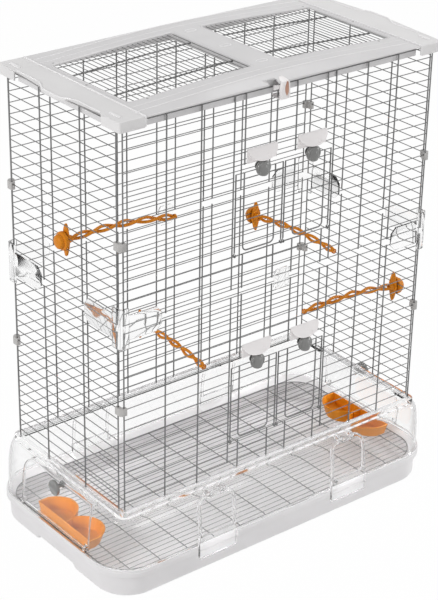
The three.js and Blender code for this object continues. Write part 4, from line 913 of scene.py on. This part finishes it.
# Cups
def cup_piece(name, end, shift):
    skin = Skin()
    half = CUP.length / 2
    quarter = CUP.length / 4
    sign = 1 if end < 0 else -1
    shares = CUP_SHARES
    taper = CUP.taper
    wall = CUP.wall

    def lobe(y, size):
        reach = abs(abs(y) - quarter) / (quarter * (1 + CUP.valley * CUP.valley / 2))
        return size * math.sqrt(max(0.0, 1 - reach * reach))

    def outline(share, z, inset):
        points = []
        for k in range(CUP.steps + 1):
            y = -(half - inset) * math.cos(HALF_TURN * k / CUP.steps)
            out = lobe(y * half / (half - inset), CUP.lobe - inset) + wall
            points.append((end + sign * share * out, shift + y * share, z))
        x = end + sign * inset * CUP.back_share
        return points + [(x, shift + (half - inset) * share, z), (x, shift - (half - inset) * share, z)]

    base = CUP.base
    top = base + CUP.height
    skin.loft([
        outline(taper, base, CUP.foot), outline(taper + shares.foot, base + CUP.foot, 0),
        outline(shares.neck, top - CUP.bead_low, 0), outline(shares.bead, top - CUP.bead_high, -CUP.bead),
        outline(shares.bead, top - CUP.bead_end, -CUP.bead), outline(shares.rim, top, CUP.bead),
        outline(shares.lip, top, CUP.lip), outline(shares.mouth, top - CUP.mouth, wall),
        outline(taper + shares.hollow, base + CUP.floor + CUP.hollow, wall),
        outline(taper, base + CUP.floor, wall + CUP.hollow),
    ])
    skin.hand_in(f"feed_cup_{name}_shape", "cage", "orange_plastic", f"feed_cup_{name}", smooth=CUP.smooth)
    divider = Skin()
    thick = CUP.divider / 2
    x = sorted((end + sign * CUP.divider_start, end + sign * (lobe(0, CUP.lobe) * CUP.divider_share)))
    divider.block(x, (shift - thick, shift + thick),
                  (base + CUP.floor - CUP.divider_root, top - CUP.divider_drop))
    divider.hand_in(f"feed_cup_divider_{name}", "cage", "orange_plastic")


for cup_name, (cup_end, cup_shift) in CUPS.items():
    cup_piece(cup_name, cup_end, cup_shift)


# Top cover: an arched plate between level end caps, with rounded rims and raised beads; the separate bead
# lines, rings and ridges take a lighter plastic as painted highlight
def cover_height(x, y):
    arch = max(0.0, 1 - (x / TOP.cap_inner) ** 2) ** TOP.arch_power
    over = min(1.0, max(0.0, abs(y) - TOP.depth_half + TOP.shoulder) / TOP.shoulder)
    return WIRE_FOOT + TOP.edge + TOP.rise * arch * (1 - over ** TOP.shoulder_power)


def on_cover(points, lift=0.0):
    return [(x, y, cover_height(x, y) + lift) for x, y in points]


def window_ring(side, grow):
    length = TOP.window_out - TOP.window_in + 2 * grow
    middle = side * (TOP.window_out + TOP.window_in) / 2
    corner = TOP.window_corner + grow
    half_x = length / 2 - corner
    half_y = TOP.window_half + grow - corner
    points = []
    for k, (sx, sy) in enumerate(CORNERS):
        angle = (k + 1) * QUARTER
        points += arc(sx * half_x, sy * half_y, corner, k * QUARTER, angle, TOP.corner_steps)
        start = points[-1]
        next_x, next_y = CORNERS[(k + 1) % 4]
        goal = (next_x * half_x + corner * math.cos(angle), next_y * half_y + corner * math.sin(angle))
        for step in range(1, TOP.window_parts):
            share = step / TOP.window_parts
            points.append((start[0] + (goal[0] - start[0]) * share, start[1] + (goal[1] - start[1]) * share))
    return [(x + middle, y) for x, y in points]


def window_distance(x, y):
    """How far a point of the cover lies outside the nearer window."""
    middle = (TOP.window_out + TOP.window_in) / 2
    dx = abs(abs(x) - middle) - (TOP.window_out - TOP.window_in) / 2 + TOP.window_corner
    dy = abs(y) - TOP.window_half + TOP.window_corner
    outside = math.hypot(max(dx, 0.0), max(dy, 0.0))
    return outside + min(max(dx, dy), 0.0) - TOP.window_corner


def beaded_height(x, y):
    share = (window_distance(x, y) - TOP.bead_start) / TOP.bead_width
    bead = TOP.bead * math.sin(math.pi * share) ** 2 if 0 < share < 1 else 0.0
    return cover_height(x, y) + bead


def everywhere(x, y):
    return True


def dressed_sheet(name, look, height, rims, spots, constraints=(), keep=everywhere):
    """A sheet between rims. Each rim is (ring by inset, radius, bottom by point, wall)."""
    flat = []
    edges = []
    for points in [ring(radius) for ring, radius, _, _ in rims] + list(constraints):
        start = len(flat)
        flat.extend(points)
        edges += [(start + k, start + (k + 1) % len(points)) for k in range(len(points))]
    flat.extend(spots)
    verts, _, faces, _, _, _ = delaunay_2d_cdt([Vector(p) for p in flat], edges, [], 0, TOP.tolerance)
    skin = Skin()
    count = len(verts)
    thickness = TOP.plate
    skin.points = [(v.x, v.y, height(v.x, v.y)) for v in verts]
    skin.points += [(v.x, v.y, height(v.x, v.y) - thickness) for v in verts]
    for face in faces:
        cx = sum(verts[k].x for k in face) / len(face)
        cy = sum(verts[k].y for k in face) / len(face)
        if keep(cx, cy):
            skin.faces.append(tuple(face))
            skin.faces.append(tuple(count + k for k in reversed(face)))
    for ring, radius, bottom, wall in rims:
        edge = ring(0)
        brim = ring(radius)
        tops = [height(x, y) for x, y in brim]
        floor = [min(bottom(x, y), z - thickness) for (x, y), z in zip(edge, tops)]
        rings = [(brim, tops)]
        for sine, cosine in quarter_steps(TOP.round_steps, 1):
            drop = radius * (1 - cosine)
            rings.append((ring(radius * (1 - sine)), [z - drop for z in tops]))
        rings += [(edge, floor), (ring(wall), floor), (brim, [z - thickness for z in tops])]
        skin.grid([[(x, y, z) for (x, y), z in zip(points, levels)] for points, levels in rings])
    return skin.object(name, look, TOP.smooth, SHEET_MERGE)


def band_strip(skin, outer, inner):
    """The recessed band behind the tops of the wires, along two lines in plan."""
    low = WIRE_FOOT + TOP.band_bottom
    rings = []
    for (ax, ay), (bx, by) in zip(outer, inner):
        top = cover_height(ax, ay) - TOP.plate + GAP
        rings.append([(ax, ay, low), (bx, by, low), (bx, by, top), (ax, ay, top)])
    skin.loft(rings)


def oval(half, width, steps):
    reach = half - width
    right = arc(reach, 0, width, -QUARTER, QUARTER, steps)
    return right + arc(-reach, 0, width, QUARTER, 3 * QUARTER, steps)


def raised_oval(skin, x, y, half, width, rise, along_x):
    """A small oval standing on the cover."""
    rings = []
    stations = [(0, -TOP.root)] + [(-rise * inward, rise * up) for inward, up in OVAL_SHARES]
    for grow, lift in stations:
        ring = oval(half + grow, width + grow, OVAL_STEPS)
        if not along_x:
            ring = [(-v, u) for u, v in ring]
        rings.append(on_cover([(x + u, y + v) for u, v in ring], lift))
    skin.loft(rings)


def cover_piece():
    half_x = TOP.cap_inner - GAP

    def outer(inset):
        x = half_x - min(inset, TOP.seam_round)
        y = TOP.depth_half - inset
        points = []
        corners = ((x, -y), (x, y), (-x, y), (-x, -y))
        for k, (ax, ay) in enumerate(corners):
            bx, by = corners[(k + 1) % 4]
            points += list(zip(spaced(ax, bx, TOP.edge_steps), spaced(ay, by, TOP.edge_steps)))[:-1]
        return points

    def outer_bottom(x, y):
        return TOP.far_bottom if abs(y) < TOP.depth_half - TOP.face_margin else WIRE_FOOT + TOP.fascia

    def window_bottom(x, y):
        return WIRE_FOOT + TOP.lip_foot

    def outside_windows(x, y):
        return window_distance(x, y) > TOP.window_margin

    rims = [(outer, TOP.round, outer_bottom, TOP.plate)]
    constraints = []
    for side in (-1, 1):
        def window(inset, side=side):
            return window_ring(side, inset)
        rims.append((window, TOP.window_round, window_bottom, TOP.lip))
        constraints += [window_ring(side, grow) for grow in WINDOW_GROWTHS]
    spots = []
    rows = [-y for y in reversed(SPOT_ROWS)] + list(SPOT_ROWS)
    for k in range(-TOP.spot_columns, TOP.spot_columns + 1):
        spots += [(k * TOP.spot_pitch, y) for y in rows]
        if abs(k) < TOP.bar_columns:
            spots += [(k * TOP.bar_pitch, y) for y in range(-TOP.bar_end, TOP.bar_end + 1, TOP.bar_rows)]
    piece = dressed_sheet("top_frame_sheet", "cover_plastic", beaded_height, rims, spots, constraints,
                          outside_windows)
    notch = Skin()
    notch.block((NOTCH.start, NOTCH.end), (-NOTCH.face, NOTCH.depth - NOTCH.face),
                (WIRE_FOOT + NOTCH.low, WIRE_FOOT + NOTCH.high))
    cut_with(piece, notch.object("notch_tool", "cover_plastic"))
    fittings = Skin()
    lines = Skin()
    xs = spaced(-half_x, half_x, TOP.edge_steps)
    for sign in (-1, 1):
        face = WALL.front_plane - TOP.band_gap
        band_strip(fittings, [(x, sign * face) for x in xs], [(x, sign * (face - TOP.band)) for x in xs])
    inside = TOP.boss_half - TOP.boss_in
    for k in (-1, 0, 1):
        middle = k * TOP.boss_shift
        raised_oval(fittings, 0, middle, TOP.boss_half, TOP.boss_width, TOP.boss_rise / 2, True)
        ring = [(x, middle + y) for x, y in oval(inside, TOP.boss_width - TOP.boss_in, TOP.boss_steps)]
        lines.tube(on_cover(ring + ring[:1]), TOP.boss_rise, sides=TOP.wire_sides, round_ends=False)
    end = half_x - TOP.line_end
    for y, radius in TOP_LINES:
        for sign in (-1, 1):
            path = [(x, sign * y) for x in spaced(-end, end, TOP.line_steps)]
            lines.tube(on_cover(path, -radius * TOP.line_sink), radius, sides=TOP.wire_sides)
    # The bead lines and boss rings are raised, and their lighter colour is painted highlight
    lines.hand_in("top_frame_lines", "cage", "cover_painted_highlight", slot="cover_plastic")
    band = fittings.object("top_frame_fittings", "cover_plastic")
    add(piece, "cage", "cover_plastic", "top_frame")
    add(band, "cage", "cover_plastic")


def cap_piece(name, side):
    inner = TOP.cap_inner
    middle = TOP.depth_half - TOP.block

    def ring(inset):
        seam = inner + min(inset, TOP.seam_round)
        outer = TOP.half - inset
        depth = TOP.depth_half - inset
        corner = TOP.corner - min(inset, TOP.corner - TOP.least_corner)
        turn = outer - corner
        span = depth - corner
        points = [(x, -depth) for x in spaced(seam, turn, CAP.steps)[:-1]]
        points += arc(turn, -span, corner, -QUARTER, 0, CAP.corner_steps)
        ys = [y for y in spaced(-span, span, CAP.rows)[1:-1] if abs(abs(y) - middle) > CAP.clear]
        ys += [sign * middle + shift for sign in (-1, 1) for shift in (-GAP, GAP)]
        for y in sorted(ys):
            swell = 1 - blended(abs(y), CAP.bulge_half, CAP.bulge_half + CAP.bulge_slope)
            step = (1 - swell) * (1 - blended(abs(y), middle - CAP.step_slope, middle))
            points.append((outer + CAP.bulge * swell - CAP.step * step, y))
        points += arc(turn, span, corner, 0, QUARTER, CAP.corner_steps)
        points += [(x, depth) for x in spaced(turn, seam, CAP.steps)[1:-1]]
        points += [(seam, y) for y in spaced(depth, -depth, CAP.rows)[:-1]]
        return [(side * x, y) for x, y in points]

    def bottom(x, y):
        if abs(x) < inner + CAP.seam_margin:
            return TOP.far_bottom
        if abs(y) < middle:
            return cover_height(x, y) - TOP.lip_height
        return WIRE_FOOT + TOP.cap_bottom

    spots = [
        (side * (inner + CAP.spot_start + CAP.spot_across * a), CAP.spot_along * b - CAP.spot_end)
        for a in range(CAP.spot_columns) for b in range(CAP.spot_rows)
    ]
    node = f"top_end_cap_{name}"
    # The cap sheet takes the lighter copy of the cover plastic: painted light
    piece = dressed_sheet(node + "_sheet", "cap_plastic_painted_lighter", cover_height,
                          [(ring, TOP.round, bottom, TOP.plate)], spots)
    fittings = Skin()
    face = WALL.side_plane - TOP.band_gap
    ys = spaced(-middle, middle, TOP.edge_steps)
    band_strip(fittings, [(side * face, y) for y in ys], [(side * (face - TOP.band), y) for y in ys])
    edges = Skin()
    for sign in (-1, 1):
        raised_oval(edges, side * CAP.ridge_x, sign * CAP.ridge_y, CAP.ridge_half, CAP.ridge_width,
                    CAP.ridge_rise, False)
        raised_oval(edges, side * CAP.tab_x, sign * CAP.tab_y, CAP.tab_half, CAP.ridge_width,
                    CAP.ridge_rise, True)
    rim = [(x, y) for x, y in ring(CAP.rim_line)
           if abs(y) < middle - CAP.rim_end and abs(x) > TOP.half - CAP.rim_width]
    edges.tube(on_cover(rim), CAP.rim_line, sides=TOP.wire_sides)
    x = side * (inner + CAP.seam_bead)
    low = WIRE_FOOT + TOP.cap_bottom + CAP.seam_end
    top = cover_height(x, TOP.depth_half)
    edge = TOP.depth_half - CAP.seam_end
    bend = CAP.seam_end
    path = [(-edge, low), (-edge, top - bend), (bend - edge, top)]
    path += [(-y, z) for y, z in reversed(path)]
    edges.tube([(x, y, z) for y, z in path], CAP.seam_bead, sides=TOP.wire_sides)
    # The ridges, tabs, rim line and seam bead are raised, and their lighter colour is painted highlight
    edges.hand_in(node + "_edge", "cage", "cover_painted_highlight", slot="cover_plastic")
    add(piece, "cage", "cover_plastic", node)
    fittings.hand_in(node + "_fittings", "cage", "cover_plastic")


def screw_dots():
    skin = Skin()
    for x, y in SCREW_DOTS:
        level = cover_height(x, y)
        rings = []
        for radius, lift in ((TOP.dot, -TOP.root), (TOP.dot, TOP.dot_rise), (TOP.dot / 2, 0)):
            ring = arc(x, y, radius, 0, TURN, TOP.dot_steps)[:-1]
            rings.append([(u, v, level + lift) for u, v in ring])
        skin.loft(rings)
    skin.hand_in("cover_screws", "cage", "knob_plastic")


def grille_wires():
    """Wires let into the window frames, arched with the cover."""
    skin = Skin()
    wire = GRILLE.wire
    reach = TOP.window_half + GRILLE.grip

    def level(x, radius):
        return cover_height(x, 0) - TOP.plate - GRILLE.clearance - radius

    pitch = 2 * GRILLE.half / GRILLE.gaps
    for k in range(1, GRILLE.gaps):
        x = -GRILLE.half + pitch * k
        if TOP.window_in < abs(x) < TOP.window_out:
            skin.tube([(x, -reach, level(x, wire)), (x, reach, level(x, wire))], wire, sides=GRILLE.sides)
    first = TOP.window_in - GRILLE.grip
    last = TOP.window_out + GRILLE.grip
    for side in (-1, 1):
        xs = [side * x for x in spaced(first, last, GRILLE.long_steps)]
        for y in (-GRILLE.shift, GRILLE.shift):
            skin.tube([(x, y, level(x, GRILLE.long + 2 * wire)) for x in xs], GRILLE.long)
    skin.hand_in("top_grille_wires", "cage", "wire", "top_grille", merge=0)


cover_piece()
for side_name, side_sign in SIGNS.items():
    cap_piece(side_name, side_sign)
screw_dots()
grille_wires()


# Keepers: a back plate with a half-round bowl that stands further out towards its bottom
def keeper(level, side):
    rows, _, _, first = PANELS[level]
    centre = SIGNS[side] * DOOR_KNOB.x
    foot = WIRE_FOOT + rows[first + WALL.door_rows] + KEEPER.above
    top = foot + KEEPER.height
    low = foot - KEEPER.plate_below
    back = -WALL.front_plane - KEEPER.back
    half = KEEPER.half
    soft = KEEPER.round
    plate = KEEPER.plate
    reach = KEEPER.depth - plate
    skin = Skin()
    rings = []
    for inset, out in ((soft, 0), (0, KEEPER.plate_soft), (0, plate - soft), (soft, plate)):
        ring = rounded_box(half - inset, (top - low) / 2 - inset, KEEPER.corner - inset, KEEPER.corner_steps,
                           (centre, (top + low) / 2))
        rings.append([(x, back - out, z) for x, z in ring])
    skin.loft(rings)

    def bowl(inset, out):
        """The outline of the bowl, at a share of its full depth, with its lower edge furthest out."""
        points = []
        for k in range(KEEPER.steps + 1):
            angle = HALF_TURN * (1 + k / KEEPER.steps)
            x = centre + (half - inset) * math.cos(angle)
            drop = (KEEPER.height - KEEPER.bowl_top - inset) * abs(math.sin(angle)) ** KEEPER.bowl_power
            depth = plate + reach * drop / KEEPER.height
            points.append((x, back - plate / 2 - (depth - plate / 2) * out, top - KEEPER.bowl_top - drop))
        return points

    skin.loft([bowl(inset, out) for inset, out in BOWL_STATIONS])
    name = f"keeper_{level}_{side}"
    skin.hand_in(name + "_shape", "cage", "white_plastic", name, smooth=CRISP)
    mark = Skin()
    path = []
    for x, z in arc(centre + KEEPER.ring_x, foot + KEEPER.ring_z, KEEPER.ring, 0, TURN, KEEPER.ring_steps):
        share = (top - KEEPER.bowl_top - z) / KEEPER.height
        path.append((x, back - plate - reach * share, z))
    mark.tube(path, KEEPER.ring_wire, sides=KEEPER.ring_sides, round_ends=False)
    mark.hand_in(name + "_mark", "cage", "white_plastic")


def turn_knob(name, knob, stem, start, place):
    """A round knob with a grip rib left between two scoops. Its own +Z points away from the panel."""
    radius = knob.radius

    def front_height(u, v):
        far = min(1.0, math.hypot(u, v) / radius)
        dome = knob.dome * math.sqrt(max(0.0, 1 - far ** KNOB.dome_power))
        fall = blended(abs(u), knob.rib, knob.scoop_reach) * (1 - far ** KNOB.fall_power)
        return dome - knob.scoop * fall * (KNOB.middle_share + (1 - KNOB.middle_share) * (1 - far))

    end = start + knob.disc
    profile = stem + [
        (radius - KNOB.chamfer, start), (radius - KNOB.chamfer_end, start + KNOB.chamfer_rise),
        (radius, start + KNOB.edge_low), (radius, end - KNOB.edge_high),
    ]
    rings = [circle(size, height, KNOB.sides) for size, height in profile]
    for share in KNOB_SHARES:
        ring = circle(radius * share, end - KNOB.crown_drop, KNOB.sides)
        rings.append([(u, v, height + front_height(u, v)) for u, v, height in ring])
    skin = Skin()
    skin.loft([[tuple(place @ Vector(point)) for point in ring] for ring in rings])
    skin.hand_in(name + "_shape", name, "knob_plastic", name, smooth=ROUND)


def door_knob(level, side):
    rows, _, _, first = PANELS[level]
    knob = DOOR_KNOB
    front = knob.front
    inner = -front - knob.back
    start = front + knob.neck_depth
    stem = [
        (KNOB.tip, inner), (knob.back_radius - knob.back_round, inner),
        (knob.back_radius, inner + knob.back_round), (knob.back_radius, -front), (knob.pin, -front),
        (knob.pin, front), (knob.neck, front), (knob.neck, start - KNOB.tuck),
    ]
    height = WIRE_FOOT + rows[first + WALL.door_rows] - knob.below
    centre = Vector((SIGNS[side] * knob.x, -WALL.front_plane, height))
    place = Matrix.Translation(centre) @ Matrix.Rotation(QUARTER, 4, "X")
    turn_knob(f"door_knob_{level}_{side}", knob, stem, start, place)


def hatch_knob(side):
    knob = HATCH_KNOB
    inner = knob.inner
    stem = [
        (KNOB.tip, inner), (knob.flange_radius - knob.flange_round, inner),
        (knob.flange_radius, inner + knob.flange_round), (knob.flange_radius, inner + knob.flange),
        (knob.stem, inner + knob.flange), (knob.stem, knob.face - KNOB.tuck),
    ]
    centre = Vector((0, 0, HATCH.knob_height))
    place = Matrix.Translation(centre) @ Matrix.Rotation(SIGNS[side] * QUARTER, 4, "Y")
    turn_knob(f"hatch_knob_{side}", knob, stem, knob.face, place)


for level_name in PANELS:
    for side_name in SIGNS:
        keeper(level_name, side_name)
        door_knob(level_name, side_name)
for side_name in SIGNS:
    hatch_knob(side_name)


# Perches: two strands twisted round each other, a leaf-shaped plate, and a round nut outside the wall
def perch(number, side, along, height, length, rise):
    place = SIDES[side][1]

    def point(across, up, inward):
        return place(along + across, -inward, height + up)

    def turned(profile, sides):
        return [[point(*spot) for spot in circle(radius, inward, sides)] for radius, inward in profile]

    strands = Skin()
    for turn in (0, HALF_TURN):
        path = []
        for k in range(PERCH.steps + 1):
            share = k / PERCH.steps
            angle = turn + TURN * PERCH.turns * share
            grip = PERCH.offset * (1 - blended(share, PERCH.pinch_start, 1.0) * PERCH.pinch_share)
            up = PERCH.arch * math.sin(HALF_TURN * share) + rise * share
            inward = PERCH.start + (length - PERCH.strand) * share
            path.append(point(grip * math.cos(angle), up + grip * math.sin(angle), inward))
        strands.tube(path, PERCH.strand, sides=PERCH.strand_sides)
    end = PERCH.start + length
    strands.tube([point(0, rise, end - PERCH.tip), point(0, rise, end)], PERCH.strand + PERCH.offset / 2,
                 sides=PERCH.tip_sides)
    plate = Skin()
    thick = PERCH.plate
    soft = PERCH.plate_soft
    rings = []
    for inset, inward in ((soft, 0), (0, PERCH.plate_edge), (0, thick - PERCH.plate_edge), (soft, thick)):
        ring = []
        for angle in turns(PERCH.plate_steps):
            bend = abs(math.sin(angle)) ** PERCH.plate_round
            up = math.copysign(bend, math.sin(angle)) * (PERCH.plate_height - inset)
            wide = max(0.0, 1 - abs(up) / PERCH.plate_height) ** (1 / PERCH.plate_power)
            across = math.copysign(wide, math.cos(angle)) * (PERCH.plate_half - inset)
            if abs(math.cos(angle)) < TINY:
                across = 0
            ring.append(point(across, up, PERCH.face + inward))
        rings.append(ring)
    plate.loft(rings)
    hub = PERCH.face + thick
    plate.loft(turned([
        (PERCH.stem, PERCH.face - PERCH.stem_length), (PERCH.stem, hub), (PERCH.hub, hub),
        (PERCH.hub, hub + PERCH.hub_flat), (PERCH.hub * PERCH.hub_share, hub + PERCH.hub_length),
    ], PERCH.hub_sides))
    name = f"perch_{number}"
    strands.hand_in(name + "_strands", "cage", "orange_plastic", name, smooth=ROUND)
    plate.hand_in(name + "_plate", "cage", "orange_plastic", smooth=CRISP)
    nut = Skin()
    profile = [
        (NUT.centre, NUT.bore_depth, 0), (NUT.bore, NUT.bore_depth, 0), (NUT.bore, 0, 0),
        (NUT.radius - NUT.soft, 0, 0), (NUT.radius, NUT.soft, 0),
    ]
    profile += [(radius, NUT.depth * share, groove) for radius, share, groove in NUT_STATIONS]
    rings = []
    for radius, outward, groove in profile:
        ring = []
        for angle in turns(NUT.grips * NUT.grip_sides):
            size = radius - groove * (1 + math.cos(NUT.grips * angle)) / 2
            ring.append(point(size * math.cos(angle), size * math.sin(angle), -PERCH.face - outward))
        rings.append(ring)
    nut.loft(rings)
    nut.hand_in(f"perch_nut_{number}_shape", "cage", "orange_plastic", f"perch_nut_{number}")


for perch_index, perch_values in enumerate(PERCHES):
    perch(perch_index + 1, *perch_values)


# The front hook: a rounded plate with ribbed sides and a leaf-shaped piece, coloured dark and warm as
# painted shade with a warm reflected tone in a recess
def hook_line(z):
    """The hook's front face, which leans back with the cover above its edge."""
    over = max(0.0, z - TOP.edge) / TOP.rise
    return -HOOK.face + TOP.shoulder * over


def hook():
    plate = Skin()
    rings = []
    for k in range(HOOK.steps + 1):
        share = k / HOOK.steps
        z = HOOK.bottom + (HOOK.top - HOOK.bottom) * share
        ease = math.sqrt(max(0.0, 1 - max(0.0, 1 - HOOK.ease * (1 - share)) ** HOOK.ease_power))
        waist = HOOK.waist_share + (1 - HOOK.waist_share) * math.sin(HALF_TURN * share)
        half = HOOK.half * waist * (HOOK.tip_share + (1 - HOOK.tip_share) * ease)
        front = hook_line(z)
        back = front + HOOK.thick - HOOK.back
        ring = []
        for m in range(HOOK.soft_steps + 1):
            angle = HALF_TURN * m / HOOK.soft_steps
            bend = max(0.0, math.sin(angle)) ** HOOK.soft_power
            ring.append((HOOK.x - half * math.cos(angle), front + HOOK.soft * (1 - bend), WIRE_FOOT + z))
        ring += [(HOOK.x + half, back, WIRE_FOOT + z), (HOOK.x - half, back, WIRE_FOOT + z)]
        rings.append(ring)
    plate.loft(rings)
    low = WIRE_FOOT + HOOK.bottom
    inner = WALL.outer - WALL.front_plane
    width = HOOK.half * HOOK.waist_share
    across = (HOOK.x - width, HOOK.x + width)
    plate.block(across, (HOOK.floor_start - HOOK.face, inner + HOOK.floor_end), (low, low + HOOK.floor))
    plate.block(across, (inner + HOOK.lip_start, inner + HOOK.floor_end), (low, low + HOOK.lip))
    for side in (-1, 1):
        path = []
        for k in range(HOOK.rib_steps + 1):
            share = k / HOOK.rib_steps
            z = HOOK.bottom + HOOK.rib_start + (HOOK.top - HOOK.rib_end - HOOK.bottom) * share
            x = HOOK.x + side * (HOOK.half - HOOK.rib - HOOK.rib_lean * share)
            path.append((x, hook_line(z) + HOOK.rib_sink, WIRE_FOOT + z))
        plate.tube(path, HOOK.rib, sides=HOOK.rib_sides)
    stop = NOTCH_STOP
    plate.block((NOTCH.end - stop.width, NOTCH.end + stop.over),
                (stop.front - HOOK.face, stop.back - HOOK.face),
                (WIRE_FOOT + NOTCH.low - stop.below, WIRE_FOOT + NOTCH.low + stop.above))
    plate.hand_in("hook_clip_shape", "cage", "white_plastic", "hook_clip", smooth=HOOK.smooth)
    # The leaf's dark warm colour is painted shade with a warm reflected tone in a recess
    leaf = Skin()
    middle = HOOK.bottom + HOOK.leaf + HOOK.leaf_lift
    rings = []
    for share, out in LEAF_STATIONS:
        ring = []
        for angle in turns(HOOK.leaf_sides):
            up = HOOK.leaf * math.sin(angle) * share
            wide = HOOK.leaf_half * (1 - (up / HOOK.leaf) ** 2) * share
            x = HOOK.x + HOOK.leaf_shift + math.copysign(wide, math.cos(angle))
            ring.append((x, hook_line(middle + up) - out, WIRE_FOOT + middle + up))
        rings.append(ring)
    leaf.loft(rings)
    leaf.hand_in("hook_leaf_painted_shade", "cage", "leaf", slot="white_plastic")


hook()

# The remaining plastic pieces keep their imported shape, with rounded edges
RECORD_SLOTS = {part["node"]: part["material_slot"] for part in frame["record"]["subparts"]}
BODY_OF = {node: body for body, nodes in frame["record"]["behaviour"]["bodies"].items() for node in nodes}
for node_name in sorted(RECORD_SLOTS):
    for prefix, soft_width in SOFT_WIDTHS.items():
        if node_name.startswith(prefix):
            slot_name = RECORD_SLOTS[node_name]
            # Corner clips take the darker copy of their plastic: painted shade
            look_name = "clip_plastic_painted_shade" if prefix == "corner_clip" else slot_name
            add(softened(node_name, look_name, soft_width), BODY_OF[node_name], slot_name, node_name)

# Floor, light and camera
floor_mesh = bpy.data.meshes.new("floor")
floor_mesh.from_pydata([(FLOOR_SIZE * sx, FLOOR_SIZE * sy, 0) for sx, sy in CORNERS], [], [(0, 1, 2, 3)])
floor = linked(bpy.data.objects.new("floor", floor_mesh))


def maths(tree, operation, first, second):
    """The result of an operation on an output and another output or a number."""
    node = tree.nodes.new("ShaderNodeMath")
    node.operation = operation
    tree.links.new(first, node.inputs[0])
    if isinstance(second, float):
        node.inputs[1].default_value = second
    else:
        tree.links.new(second, node.inputs[1])
    return node.outputs["Value"]


def seen_rays(tree):
    """1 for rays from the camera, or that a shiny or clear surface sends on, and 0 for the rest."""
    path = tree.nodes.new("ShaderNodeLightPath").outputs
    shown = maths(tree, "MAXIMUM", path["Is Camera Ray"], path["Is Glossy Ray"])
    return maths(tree, "MAXIMUM", shown, path["Is Transmission Ray"])


def floor_material():
    material, tree, shader, output = new_material("floor")
    set_inputs(shader, FLOOR_SHADER)
    glow = coloured(tree, "ShaderNodeEmission", Color=WHITE)
    share = maths(tree, "MULTIPLY", seen_rays(tree), FLOOR_GLOW)
    mix_shaders(tree, share, shader.outputs["BSDF"], glow, output)
    return material


floor_mesh.materials.append(floor_material())

world = bpy.data.worlds.new("studio")
bpy.context.scene.world = world
world.use_nodes = True
world.node_tree.nodes.clear()
plain = coloured(world.node_tree, "ShaderNodeBackground", Color=WHITE, Strength=WORLD_STRENGTH)
white = coloured(world.node_tree, "ShaderNodeBackground", Color=WHITE, Strength=1)
world_output = world.node_tree.nodes.new("ShaderNodeOutputWorld")
mix_shaders(world.node_tree, seen_rays(world.node_tree), plain, white, world_output)


def soft_lamp(name, place, aim, size, power):
    data = bpy.data.lights.new(name, "AREA")
    data.shape = "SQUARE"
    data.size = size
    data.energy = power
    lamp = linked(bpy.data.objects.new(name, data))
    lamp.location = place
    way = Vector(aim) - Vector(place)
    lamp.rotation_euler = way.to_track_quat("-Z", "Y").to_euler()


for lamp_values in LAMPS:
    soft_lamp(*lamp_values)

back_way = Vector(CAMERA.back).normalized()
side_way = Vector((0, 0, 1)).cross(back_way).normalized()
up_way = back_way.cross(side_way)
roll = math.radians(CAMERA.roll)
x_axis = side_way * math.cos(roll) + up_way * math.sin(roll)
y_axis = up_way * math.cos(roll) - side_way * math.sin(roll)
camera_data = bpy.data.cameras.new("camera")
camera_data.lens = CAMERA.lens
camera_data.sensor_width = CAMERA.sensor
camera = linked(bpy.data.objects.new("camera", camera_data))
camera_place = Vector(CAMERA.target) + back_way * CAMERA.distance
axes = Matrix((x_axis, y_axis, back_way)).transposed().to_4x4()
camera.matrix_world = Matrix.Translation(camera_place) @ axes
bpy.context.scene.camera = camera
bpy.context.scene.view_settings.view_transform = "Standard"
